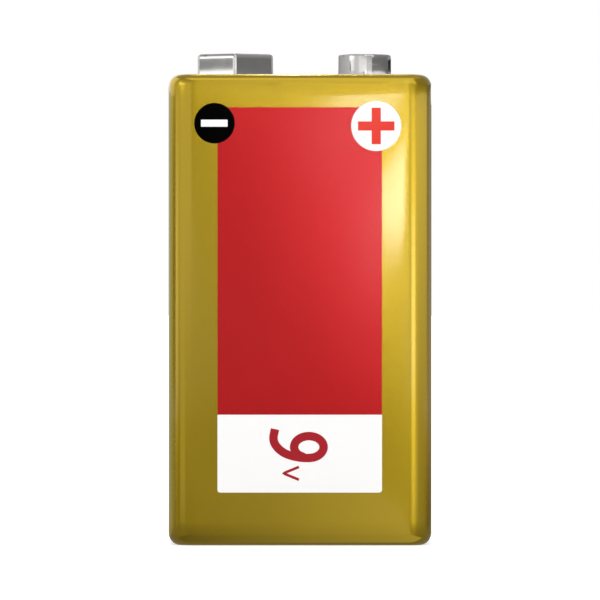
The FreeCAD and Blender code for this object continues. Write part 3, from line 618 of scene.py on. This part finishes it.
# %% Red and white panel
PANEL_LEFT, PANEL_RIGHT = -8.0, 7.95
PANEL_LOW, PANEL_SPLIT, PANEL_HIGH = 5.17, 12.72, 42.53
TIGHT, SOFT = 0.04, 0.25
red_outline = rectangle(PANEL_LEFT, PANEL_RIGHT, PANEL_SPLIT, PANEL_HIGH, TIGHT)
white_outline = rectangle(PANEL_LEFT, PANEL_RIGHT, PANEL_LOW, PANEL_SPLIT, [SOFT, SOFT, TIGHT, TIGHT])
add_film("red_panel", red_outline, PANEL_LIFT, red_ink, rings=24)
add_film("white_panel", white_outline, PANEL_LIFT, white_ink, rings=16)

# %% [markdown]
# ## The polarity signs
# A minus in a black disc and a plus in a white disc mark the terminals above them. They are general signs.
# A disc is a circle of points, the minus is a rectangle, and the plus is one outline of twelve corners, so
# that its arms join without a line.

# %% Discs, minus and plus
MINUS_AT, MINUS_DISC, MINUS_LEFT, MINUS_RIGHT, MINUS_HALF = (-8.29, 40.98), 1.97, 1.31, 1.27, 0.34
PLUS_AT, PLUS_DISC, ARM, BAR = (7.39, 40.71), 2.43, 1.765, 0.44
SIGN_CORNER, SIGN_STEP = 0.03, 0.3


def disc(centre, radius, count=72):
    """Points evenly round a circle."""
    angle = np.arange(count) * 2 * math.pi / count
    return np.array(centre) + radius * np.stack([np.cos(angle), np.sin(angle)], 1)


add_film("minus_disc", disc(MINUS_AT, MINUS_DISC), DISC_LIFT, black_ink)
minus_outline = rectangle(MINUS_AT[0] - MINUS_LEFT, MINUS_AT[0] + MINUS_RIGHT, MINUS_AT[1] - MINUS_HALF,
                          MINUS_AT[1] + MINUS_HALF, SIGN_CORNER, SIGN_STEP)
add_film("minus_bar", minus_outline, SIGN_LIFT, white_ink, rings=6)
add_film("plus_disc", disc(PLUS_AT, PLUS_DISC), DISC_LIFT, white_ink)
cross = [(BAR, BAR), (ARM, BAR), (ARM, -BAR), (BAR, -BAR), (BAR, -ARM), (-BAR, -ARM),
         (-BAR, -BAR), (-ARM, -BAR), (-ARM, BAR), (-BAR, BAR), (-BAR, ARM), (BAR, ARM)]
cross_outline = divide(round_corners(cross, SIGN_CORNER, 3)[0], SIGN_STEP) + np.array(PLUS_AT)
add_film("plus_cross", cross_outline, SIGN_LIFT, bright_red_ink, rings=8)

# %% [markdown]
# ## Pen strokes
# The voltage is one plain numeral and a v, both read from the side. Each is a pen stroke: a smooth path
# through a few points, with a flat nib of constant width carried along it. A text object could write them,
# but it wouldn't follow the bowed face.

# %% Carry a nib along a path
NIB = np.array([-0.5, -0.25, 0, 0.25, 0.5])
DIVE_DEEP = 0.008


def smooth_path(points, steps=10):
    """A curve through the points: between two of them it is a cubic whose slope at each point is half the
    way from the point before to the point after."""
    points = np.asarray(points, float)
    padded = np.vstack([2 * points[0] - points[1], points, 2 * points[-1] - points[-2]])
    share = np.linspace(0, 1, steps, endpoint=False)[None, :, None]
    p0, p1, p2, p3 = (padded[k:len(padded) - 3 + k, None] for k in range(4))
    curve = 0.5 * (2 * p1 + (p2 - p0) * share + (2 * p0 - 5 * p1 + 4 * p2 - p3) * share ** 2
                   + (3 * p1 - p0 - 3 * p2 + p3) * share ** 3)
    return np.vstack([curve.reshape(-1, 2), points[-1:]])


def add_stroke(name, path, width, lift, material, dive=0):
    """A flat nib across the path: face corners at the lift, under corners in the sheet, closed at both ends.

    The last points of the path, as many as dive says, sink evenly, so that the end passes under the start."""
    slope = np.gradient(path, axis=0)
    slope /= np.linalg.norm(slope, axis=1, keepdims=True)
    sideways = np.stack([-slope[:, 1], slope[:, 0]], 1)
    offset = np.append(NIB, NIB[::-1]) * width
    high = np.repeat([1.0, 0.0], len(NIB))
    lifts = np.full(len(path), lift)
    lifts[len(path) - dive:] -= np.linspace(0, DIVE_DEEP, dive)
    flat = path[:, None] + sideways[:, None] * offset[None, :, None]
    rise = high[None] * lifts[:, None] - (1 - high[None]) * SUNK
    front = front_face(flat[..., 0], flat[..., 1]) - rise
    grid = np.stack([flat[..., 0], front, flat[..., 1]], -1)
    return grid_piece(name, grid, material, "gold_sheet", poles=True, sharp=FILM_SHARP)


print("nib of", len(NIB), "points")

# %% [markdown]
# ## The numeral and the small letter
# The numeral's stroke starts at the tail, runs round the bowl, and ends under itself. Its tail is a few
# given points, and its bowl is part of an ellipse. The letter is two short straight strokes.

# %% Nine and v
BOWL_AT, BOWL_LONG, BOWL_WIDE, BOWL_FROM, BOWL_TO = (0.86, 9.59), 1.43, 1.06, -75, 250
TAIL = [(-2.42, 11.33), (-2.57, 10.55), (-2.45, 9.92), (-1.94, 9.3), (-1.14, 8.84), (0.1, 8.56)]
LETTER = [(-0.1, 7.66), (-1.62, 7.04), (-0.1, 6.42)]
NUMERAL_NIB, LETTER_NIB, LETTER_STEP = 0.82, 0.26, 0.2
bowl_angle = np.radians(np.linspace(BOWL_FROM, BOWL_TO, 11))
bowl = np.array(BOWL_AT) + np.stack([BOWL_LONG * np.cos(bowl_angle), BOWL_WIDE * np.sin(bowl_angle)], 1)
numeral_path = smooth_path(np.vstack([TAIL, bowl]))
letter_path = divide(np.array(LETTER), LETTER_STEP, closed=False)
add_stroke("numeral_nine", numeral_path, NUMERAL_NIB, DISC_LIFT, deep_red_ink, dive=24)
add_stroke("letter_v", letter_path, LETTER_NIB, DISC_LIFT, deep_red_ink)

# %% [markdown]
# ## The snap stud
# The positive terminal is a drawn cup with a rolled head: it is round, so its section is simply turned
# about its axis. The head is a hair wider than the neck, and that is what the clip snaps over. The section
# runs from the rivet's hole down inside the cup, round the flange, up the neck and over into the dish.

# %% Turn the stud
rise = TOP - SEAT
RIVET_HOLE, CUP_INSIDE, FLANGE, FOOT, NECK, HEAD = 1.15, 2.16, 3.4, 2.54, 2.46, 2.6
FLANGE_THICK, NECK_LOW, NECK_HIGH = 0.3, 0.65, 0.9
DISH_RIM, DISH_FLOOR, DISH_DEEP, FLOOR_UNDER = 1.75, 1.55, 0.35, 0.65
RUBBED_HEAD, RUBBED_FROM, STUD_STEP = 0.3, 1.7, 0.5


def turn_profile(profile, centre, count=96):
    """Every point of the profile (radius, height) carried round the axis in equal angles."""
    angle = np.arange(count) * 2 * math.pi / count
    radius, level = profile[:, 0, None], profile[:, 1, None]
    return np.stack([centre[0] + radius * np.cos(angle), centre[1] + radius * np.sin(angle),
                     centre[2] + level * np.ones(count)], -1)


stud_section = [(RIVET_HOLE, rise - FLOOR_UNDER), (CUP_INSIDE, rise - FLOOR_UNDER), (CUP_INSIDE, 0),
                (FLANGE, 0), (FLANGE, FLANGE_THICK), (FOOT, FLANGE_THICK), (NECK, NECK_LOW),
                (HEAD, NECK_HIGH), (HEAD, rise), (DISH_RIM, rise), (DISH_FLOOR, rise - DISH_DEEP),
                (RIVET_HOLE, rise - DISH_DEEP)]
stud_radii = [0.03, 0.2, 0.05, 0.1, 0.1, 0.06, 0.12, 0.12, 0.18, 0.12, 0.1, 0.05]
stud_profile = divide(round_corners(stud_section, stud_radii)[0], STUD_STEP)
on_head = (stud_profile[:, 1] > rise - RUBBED_HEAD) & (stud_profile[:, 0] > RUBBED_FROM)
grid_piece("stud_shell", turn_profile(stud_profile, (STUD_SIDE, 0, SEAT)), nickel, "nickel_plate",
           edge=on_head[:, None], replaced=["positive_stud"])

# %% [markdown]
# ## The rivets
# A rivet holds each terminal to the plate. Its head is pressed to a low dome and its tail is spread under
# the lead, so one profile from pole to pole describes it.

# %% Both rivets
AXIS_HOLE, TAIL_WIDE, TAIL_THICK, SHANK = 0.02, 1.7, 0.35, 1.1
HEAD_THICK, HEAD_EDGE, DOME_FLAT, RUBBED_DOME = 0.3, 0.04, 0.6, 0.2
RIVET_STEPS, RIVET_STEP, RIVET_COLUMNS = 6, 0.4, 64


def add_rivet(name, side, head_radius):
    """A rivet's profile from the middle of its tail to the middle of its head, turned about its axis."""
    low, high = (np.array(corner)[2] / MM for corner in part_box(name))
    corners = [(AXIS_HOLE, low), (TAIL_WIDE, low), (TAIL_WIDE, low + TAIL_THICK), (SHANK, low + TAIL_THICK),
               (SHANK, high - HEAD_THICK), (head_radius, high - HEAD_THICK), (head_radius, high - HEAD_EDGE),
               (DOME_FLAT, high), (AXIS_HOLE, high)]
    radii = [0.005, 0.12, 0.03, 0.03, 0.03, 0.03, 0.14, 0.5, 0.005]
    rounded, _ = round_corners(corners, radii, RIVET_STEPS)
    profile = divide(rounded[RIVET_STEPS + 1:-RIVET_STEPS - 1], RIVET_STEP, closed=False)
    grid_piece(name + "_domed", turn_profile(profile, (side, 0, 0), RIVET_COLUMNS), steel, "nickel_tab",
               edge=profile[:, 1:] > high - RUBBED_DOME, poles=True, replaced=[name], sharp=35)


add_rivet("positive_rivet", STUD_SIDE, 1.4)
add_rivet("negative_rivet", SOCKET_SIDE, 1.7)

# %% [markdown]
# ## The snap socket
# The negative terminal is a six-sided cup whose top folds in and down to a round throat, cut by six slits
# into springs. Its section is the same at every angle except for one thing: how far it is a hexagon and
# how far a circle. So each row has a hexagon, a circle and the share between them.

# %% A hexagon with round corners, as a radius for each angle
FLAT, UPRIGHT = (socket_high[0] - socket_low[0]) / 2, 0.38


def hexagon_radius(angle, flat):
    """Distance to the outline at an angle from a corner: the near corner's arc, or the side beyond it."""
    off = np.abs((angle + math.pi / 6) % (math.pi / 3) - math.pi / 6)
    centre = (flat - UPRIGHT) / math.cos(math.pi / 6)
    meet = np.arctan2(UPRIGHT / 2, centre + UPRIGHT * math.cos(math.pi / 6))
    arc = centre * np.cos(off) + np.sqrt(np.maximum(UPRIGHT ** 2 - (centre * np.sin(off)) ** 2, 0))
    return np.where(off < meet, arc, flat / np.cos(math.pi / 6 - off))


print("half across the corners", hexagon_radius(np.zeros(1), FLAT), "half across the flats", FLAT)

# %% [markdown]
# ## The socket's rows
# The rows run from the hole in the floor, out along the floor, up the wall, over the crown, in along the
# top, and down the throat, which opens a little at its end. They lie close together where a slit starts,
# so that its round end is smooth.

# %% The rows of the socket
CUP_BEND, THROAT, THROAT_BEND, THROAT_LONG = 0.35, 2.5, 0.3, 0.9
THROAT_OPENS, OPENING_LONG = 0.12, 0.3
TAPER, WALL_FLARE, FLARE_HIGH = math.radians(1.3), 0.07, 0.45
SLIT, SLIT_END = 0.35, 3.7
quarter = np.linspace(0, math.pi / 2, 9)[1:]
shares = np.linspace(0, 1, 5)


def wall_lean(level):
    """How far a wall leans in: fast just over the floor, then evenly, and never past the plain taper."""
    even = (rise * math.tan(TAPER) - WALL_FLARE) / rise
    return WALL_FLARE * (1 - math.exp((CUP_BEND - level) / FLARE_HIGH)) + even * (level - CUP_BEND)


shoulder = rise - CUP_BEND
top_flat = FLAT - wall_lean(shoulder)
crown_flat, mouth = top_flat - CUP_BEND, THROAT + THROAT_BEND
crest = float(hexagon_radius(np.zeros(1), crown_flat)[0])
slit_rows = [SLIT_END + 0.06, SLIT_END, SLIT_END - 0.01, SLIT_END - 0.04, SLIT_END - 0.09,
             SLIT_END - SLIT / 2]
rows = [(1 - share, RIVET_HOLE, FLAT - CUP_BEND, 0.0) for share in shares]
rows += [(0, RIVET_HOLE, FLAT - CUP_BEND * (1 - math.sin(turn)), CUP_BEND * (1 - math.cos(turn)))
         for turn in quarter]
rows += [(0, RIVET_HOLE, FLAT - wall_lean(level), level) for level in np.linspace(CUP_BEND, shoulder, 17)[1:]]
rows += [(0, RIVET_HOLE, top_flat - CUP_BEND * (1 - math.cos(turn)), rise - CUP_BEND * (1 - math.sin(turn)))
         for turn in quarter]
rows += [((crest - radius) / (crest - mouth), mouth, crown_flat, rise)
         for radius in slit_rows + [3.4, 3.2, 3.0, mouth]]
rows += [(1, mouth - THROAT_BEND * math.sin(turn), FLAT, rise - THROAT_BEND * (1 - math.cos(turn)))
         for turn in quarter]
throat_top, throat_low = rise - THROAT_BEND, rise - THROAT_BEND - THROAT_LONG
rows += [(1, THROAT, FLAT, throat_top - THROAT_LONG * share) for share in shares[1:]]
rows += [(1, THROAT + THROAT_OPENS * share ** 2, FLAT, throat_low - OPENING_LONG * share)
         for share in shares[1:]]
roundness, circle, flats, levels = np.array(rows).T[:, :, None]
print(len(rows), "rows")

# %% [markdown]
# ## Six sprung petals
# Between two slits there is one sixth of the cup, and each sixth is a grid of its own. Where a slit is open
# its edge columns draw back from the corner line, and elsewhere they meet the neighbour's and are welded.
# Columns crowd near the corners, where the sheet turns. A Solidify modifier then gives the sheet its
# thickness, which is simpler than a second skin.

# %% One sixth, then all six
SIXTH, SOCKET_SHEET, WELD_DIGITS = math.pi / 3, 0.25, 5
ARC_SHARE, ARC_COLUMNS, FLAT_COLUMNS = 0.06, 7, 19
arc_side = np.linspace(0, ARC_SHARE, ARC_COLUMNS)
middle = np.linspace(ARC_SHARE, 1 - ARC_SHARE, FLAT_COLUMNS)[1:-1]
sixth = np.concatenate([arc_side, middle, 1 - arc_side[::-1]])
open_from = int(np.argmax((roundness > 0) & (levels > 1))) + 2
corner_radius = (1 - roundness) * hexagon_radius(np.zeros(1), flats) + roundness * circle
end_round = np.clip((SLIT_END - corner_radius) / (SLIT / 2), 0, 1)
is_open = np.arange(len(rows))[:, None] >= open_from
half_slit = is_open * SLIT / 2 * np.sqrt(1 - (1 - end_round) ** 2)
drawn_back = np.arcsin(half_slit / corner_radius)
angle = drawn_back + (SIXTH - 2 * drawn_back) * sixth[None]
radius = (1 - roundness) * hexagon_radius(angle, flats) + roundness * circle
turns = (np.arange(6) * SIXTH + math.pi / 2)[:, None, None] + angle[None]
petals = np.stack([SOCKET_SIDE + radius[None] * np.cos(turns), radius[None] * np.sin(turns),
                   SEAT + levels[None] * np.ones_like(turns)], -1)
print(petals.shape[0], "petals of", petals.shape[1], "by", petals.shape[2], "points")

# %% Weld the petals and give the sheet its thickness
loose = petals.reshape(-1, 3)
faces = join_neighbours(len(rows), len(sixth), False, False)
faces = (faces[None] + (np.arange(6) * len(rows) * len(sixth))[:, None, None]).reshape(-1, 4)
_, first, where = np.unique(np.round(loose, WELD_DIGITS), axis=0, return_index=True, return_inverse=True)
crown = ((levels > shoulder) & (levels <= rise))[None] * np.ones_like(turns)
socket = add_piece("socket_shell", loose[first], where.reshape(-1)[faces], nickel, "nickel_plate",
                   crown.ravel()[first], replaced=["negative_socket"])
wall = socket.modifiers.new("sheet", "SOLIDIFY")
wall.thickness, wall.offset = SOCKET_SHEET * MM, -1
print("socket sheet", wall.thickness / MM, "mm")

# %% [markdown]
# ## The studio
# The photograph is a straight front view on plain white, taken from far away with a long lens. The camera
# stands level, half a metre off, at the height that puts the battery where the photograph has it. Its lens
# is worked out from the scale: so many pixels to a millimetre in the plane of the terminals.

# %% Camera
CAMERA_AWAY, CAMERA_HIGH, PIXELS_PER_MM, FRAME_PIXELS, SENSOR = 0.55, 0.02384, 10.16, 600, 36
camera = bpy.data.objects.new("camera", bpy.data.cameras.new("camera"))
scene.collection.objects.link(camera)
camera.location = (0, -CAMERA_AWAY, CAMERA_HIGH)
camera.rotation_euler = (math.pi / 2, 0, 0)
camera.data.sensor_width = SENSOR
camera.data.lens = SENSOR * CAMERA_AWAY / (FRAME_PIXELS / PIXELS_PER_MM * MM)
camera.data.clip_start, camera.data.clip_end = 0.01, 20
scene.camera = camera
print("focal length", round(camera.data.lens, 1))

# %% [markdown]
# ## White all round
# The air behind the battery is plain white to the camera and to shiny surfaces, and for all other rays it
# is the soft light of the studio. The Light Path node tells the two kinds of ray apart.

# %% The white world
WHITE, AMBIENT = (1, 1, 1, 1), 1.15


def seen_share(tree):
    """1 for rays from the camera, off a glossy surface or through glass, and 0 for the rest."""
    ray = add_node(tree, "LightPath").outputs
    direct = calculate(tree, "MAXIMUM", ray["Is Camera Ray"], ray["Is Glossy Ray"])
    return calculate(tree, "MAXIMUM", direct, ray["Is Transmission Ray"])


def empty_tree(owner):
    """The node tree of a world or a material, cleared."""
    owner.use_nodes = True
    owner.node_tree.nodes.clear()
    return owner.node_tree


world = bpy.data.worlds.new("white_room")
scene.world = world
tree = empty_tree(world)
ambient = add_node(tree, "Background", {"Color": WHITE, "Strength": AMBIENT})
white = add_node(tree, "Background", {"Color": WHITE, "Strength": 1.0})
choice = add_node(tree, "MixShader", {0: seen_share(tree), 1: ambient.outputs[0], 2: white.outputs[0]})
tree.links.new(choice.outputs[0], add_node(tree, "OutputWorld").inputs[0])
print("world", world.name)

# %% [markdown]
# ## The floor
# The floor is white too, but partly of its own and partly by the light that falls on it, so it still
# darkens under the battery. Its own part is emission that only the camera and shiny surfaces see.

# %% Lay the floor
FLOOR_HALF, FLOOR_GREY, FLOOR_GLOW = 8.0, 0.8, 0.5
floor_material = bpy.data.materials.new("white_floor")
tree = empty_tree(floor_material)
matt = add_node(tree, "BsdfDiffuse", {"Color": (FLOOR_GREY, FLOOR_GREY, FLOOR_GREY, 1)})
own = add_node(tree, "Emission", {"Strength": calculate(tree, "MULTIPLY", seen_share(tree), FLOOR_GLOW)})
both = add_node(tree, "AddShader", {0: matt.outputs[0], 1: own.outputs[0]})
tree.links.new(both.outputs[0], add_node(tree, "OutputMaterial").inputs[0])


def add_stage(name, points, faces, material):
    """A piece of the studio from points in metres, which isn't part of the battery."""
    mesh = bpy.data.meshes.new(name)
    mesh.from_pydata(points, [], faces)
    mesh.materials.append(material)
    sheet = bpy.data.objects.new(name, mesh)
    scene.collection.objects.link(sheet)
    return sheet


floor_corners = [(-FLOOR_HALF, -FLOOR_HALF, 0), (FLOOR_HALF, -FLOOR_HALF, 0), (FLOOR_HALF, FLOOR_HALF, 0),
                 (-FLOOR_HALF, FLOOR_HALF, 0)]
add_stage("floor", floor_corners, [(0, 1, 2, 3)], floor_material)
print("floor", FLOOR_HALF * 2, "m wide")

# %% [markdown]
# ## Flags
# Bare metal shows only what stands round it. A photographer sets grey and black cards, called flags, beside
# the camera to give its edges dark lines, and pale ones for the bright lines. The cards here glow in their
# own grey, and only shiny surfaces see them. Most let the lamps' light through, and a few small ones
# close to the terminals stop it as a real flag does.

# %% A card with a grey at each corner
CARD_POINTS = 9


def add_shaded_card(name, greys, corners, hides_lamps=False, tint=(1, 1, 1)):
    """A flat card through four corners, whose light changes evenly between them.

    The greys are one value, or one for each corner: left low, right low, left high and right high."""
    material = bpy.data.materials.new(name)
    tree = empty_tree(material)
    shade = add_node(tree, "Attribute", attribute_name="shade").outputs["Fac"]
    glow = add_node(tree, "Emission", {"Color": (*tint, 1), "Strength": shade})
    tree.links.new(glow.outputs[0], add_node(tree, "OutputMaterial").inputs[0])
    four = np.hstack([np.asarray(corners, float), np.broadcast_to(greys, (4,))[:, None]])
    share = np.linspace(0, 1, CARD_POINTS)
    across, up = share[None, :, None], share[:, None, None]
    low_side = four[0] * (1 - across) + four[1] * across
    high_side = four[2] * (1 - across) + four[3] * across
    table = (low_side * (1 - up) + high_side * up).reshape(-1, 4)
    faces = join_neighbours(CARD_POINTS, CARD_POINTS, False, False)
    card = add_stage(name, table[:, :3].tolist(), faces.tolist(), material)
    card.data.attributes.new("shade", "FLOAT", "POINT").data.foreach_set("value", table[:, 3].copy())
    card.visible_camera = card.visible_diffuse = card.visible_transmission = False
    card.visible_shadow = hides_lamps


print("a card has", CARD_POINTS ** 2, "points")

# %% [markdown]
# ## Large upright cards
# These stand round the battery at arm's length. What a point of the jacket mirrors depends on where it
# faces: the nearly flat front sees only the narrow cards round the camera, a round corner sweeps over all of
# one side within a few pixels, and the very edge sees almost straight behind itself. Each line below gives a
# card's greys, its two directions, its two heights and its distance.


# %% Cards round the battery
def place_round(turn, away, level):
    """A place at a direction in degrees to the right of the camera, a distance and a height in metres."""
    yaw = math.radians(turn)
    return away * math.sin(yaw), -away * math.cos(yaw), level


def add_card(name, greys, turn_from, turn_to, low, high, away, hides_lamps=False, tint=(1, 1, 1)):
    """An upright card between two directions in degrees and two heights in metres."""
    corners = [place_round(turn, away, level) for level in (low, high) for turn in (turn_from, turn_to)]
    add_shaded_card(name, greys, corners, hides_lamps, tint)


add_card("left_card", (0.62, 0.85, 0.4, 0.2), -98, -6, 0.02, 1.2, 0.9)
add_card("left_low_card", (0.15, 0.3, 0.62, 0.62), -98, -6, -0.08, 0.02, 0.9)
add_card("left_bright_card", 1.1, -88, -73, -0.02, 0.05, 0.6)
add_card("front_card", (0.95, 0.05, 0.0, 1.18), -6, 6, -0.053, 0.1, 0.88)
add_card("front_high_card", (0.0, 1.7, 0.0, 1.9), -6, 6, 0.0995, 1.2, 0.879)
add_card("left_flag", 0.13, -112, -89, -0.1, 0.076, 0.8)
add_card("back_left_card", 0.46, -178, -112, -0.1, 0.076, 0.8, tint=(0.95, 1, 0.75))
add_card("right_card", (0.0, 0.0, 1.7, 1.1), 42, 110, -0.055, 0.1, 0.82)
add_card("right_high_flag", 0.3, 42, 110, 0.1, 1.2, 0.8)
add_card("right_flag", (0.28, 0.4, 0.28, 0.4), 108, 165, -0.1, 1.0, 0.8)
add_card("right_edge_flag", 0.2, 140, 178, -0.1, 0.07, 0.78, tint=(1, 0.8, 0.3))
print("large cards placed, the last at", round(place_round(178, 0.78, 0)[1], 3), "m behind")

# %% [markdown]
# ## Small cards beside the terminals
# The socket's two visible sides and the round stud are too small for the large cards to shape. These stand
# only centimetres away, at the height of the terminals, so that the gold below hardly mirrors them. The one
# on the stud's left stands on the jacket itself, between the two terminals.

# %% Cards for the socket and the stud
NEAR_AWAY, STUD_AWAY, STUD_CARD_SIDE = 0.06, 0.12, 0.0015
add_card("socket_flag", 0.16, -66, -57.5, 0.0483, 0.05, NEAR_AWAY, True)
add_card("socket_glow", 1.5, -66, -57.5, 0.05, 0.075, NEAR_AWAY, True)
add_card("corner_glow", (1.3, 0.8, 2.2, 1.6), -57.4, -40, 0.0483, 0.062, NEAR_AWAY, True)
add_card("stud_near_card", (1.0, 1.3, 1.0, 0.5), -7, 26, 0.0466, 0.0505, 0.02, True)
stud_card_corners = [(STUD_CARD_SIDE, y, level) for level in (0.0455, 0.0505) for y in (-0.0031, 0.006)]
add_shaded_card("stud_left_card", (0.6, 0.22, 0.6, 0.26), stud_card_corners)
add_card("stud_front_flag", (0.75, 0.6, 0.5, 0.35), 9, 34, 0.05, 0.075, STUD_AWAY, True)
add_card("stud_flag", (0.13, 0.13, 0.3, 0.24), 34, 118, 0.0488, 0.06, STUD_AWAY, True)
add_card("stud_edge_flag", 0.02, 120, 172, 0.0502, 0.053, STUD_AWAY, True)
print("small cards placed")

# %% [markdown]
# ## Level cards
# The rolled rims look up and down. One card hangs over the battery, and the rest lie on the floor, a hair
# above it and seen only in reflections: before the battery, behind it in three tints of gold, and a small
# one close under the front rim.

# %% Cards above and on the floor
FLOOR_LEVEL, FAN_LEVEL, NEAR_LEVEL = 0.00003, 0.00005, 0.00006


def add_level_card(name, greys, left, right, near, far, level, tint=(1, 1, 1)):
    """A level card from a left to a right x and from a near to a far y, at one height in metres."""
    corners = [(x, y, level) for y in (near, far) for x in (left, right)]
    add_shaded_card(name, greys, corners, tint=tint)


add_level_card("top_card", (0.35, 0.5, 0.35, 0.5), -0.8, 0.8, -0.2, 1.2, 1.0)
add_level_card("low_card", (0.2, 0.36, 0.15, 0.3), -0.6, 0.6, -0.85, 0, FLOOR_LEVEL)
add_level_card("back_left_low_card", (0.33, 0.4, 0.38, 0.42), -0.6, -0.05, 0, 0.85, FLOOR_LEVEL,
               (0.96, 1, 0.8))
add_level_card("back_middle_low_card", (0.42, 0.14, 0.42, 0.14), -0.05, 0.05, 0, 0.85, FLOOR_LEVEL,
               (1, 0.94, 0.6))
add_level_card("back_right_low_card", (0.14, 0.5, 0.1, 0.5), 0.05, 0.6, 0, 0.85, FLOOR_LEVEL, (1, 0.88, 0.5))
add_level_card("near_low_card", (0.28, 0.72, 0.16, 0.55), -0.013, 0.013, -0.11, -0.0079, NEAR_LEVEL)
print("level cards placed")

# %% [markdown]
# ## Fans on the floor
# Low on the round corners the reflection runs down to the floor. A card that fans out from the battery
# fills the same few directions at every distance, so the line that it draws on a corner stays straight all
# the way down.

# %% Fan cards
FAN_FROM, FAN_TO = 0.07, 0.85


def add_fan_card(name, grey, turn_from, turn_to):
    """A card on the floor between two directions in degrees, wider the further it is from the battery."""
    corners = [place_round(turn, away, FAN_LEVEL)
               for away in (FAN_FROM, FAN_TO) for turn in (turn_from, turn_to)]
    add_shaded_card(name, grey, corners)


add_fan_card("left_dark_fan", 0.1, -82, -64)
add_fan_card("left_pale_fan", 0.45, -60, -36)
add_fan_card("right_pale_fan", 0.55, 21, 50)
print("fans placed")

# %% [markdown]
# ## Soft boxes
# Two narrow leaning lamps near the camera draw the long pale streak on the right of the front. A level one
# further right lights the right corner, and a bright one high behind the battery draws the line along its top
# edge. An area lamp is used because its shape shows in the metal, where a point of light would be a dot.

# %% Lamps
LAMP_AWAY = 0.7


def add_soft_box(name, turn, climb, wide, tall, radiance, lean=0):
    """An area lamp that faces the battery from a direction and a height in degrees, and leans to the left.

    Its watts are radiance times pi times its area, which makes it look equally bright at any size."""
    lamp = bpy.data.objects.new(name, bpy.data.lights.new(name, "AREA"))
    lamp.data.shape, lamp.data.size, lamp.data.size_y = "RECTANGLE", wide, tall
    lamp.data.energy = radiance * math.pi * wide * tall
    yaw, pitch = math.radians(turn), math.radians(climb)
    level = CAMERA_HIGH + LAMP_AWAY * math.sin(pitch)
    lamp.location = place_round(turn, LAMP_AWAY * math.cos(pitch), level)
    facing_home = Euler((math.pi / 2 - pitch, 0, yaw)).to_matrix()
    lamp.rotation_euler = (facing_home @ Matrix.Rotation(math.radians(lean), 3, "Z")).to_euler()
    lamp.visible_camera = False
    scene.collection.objects.link(lamp)


add_soft_box("key_box", 4.6, 2.05, 0.0086, 0.029, 22.0, lean=47)
add_soft_box("second_key_box", 1.7, 4.8, 0.0095, 0.028, 12.3, lean=47)
add_soft_box("side_box", 27, 0, 0.24, 0.04, 2.1)
add_soft_box("rim_box", 180.25, 52, 0.01, 0.05, 50.0)

# %% [markdown]
# ## Colour
# The picture is shown with the Standard view, which leaves colours as they are written.

# %% Finish
scene.view_settings.view_transform = "Standard"
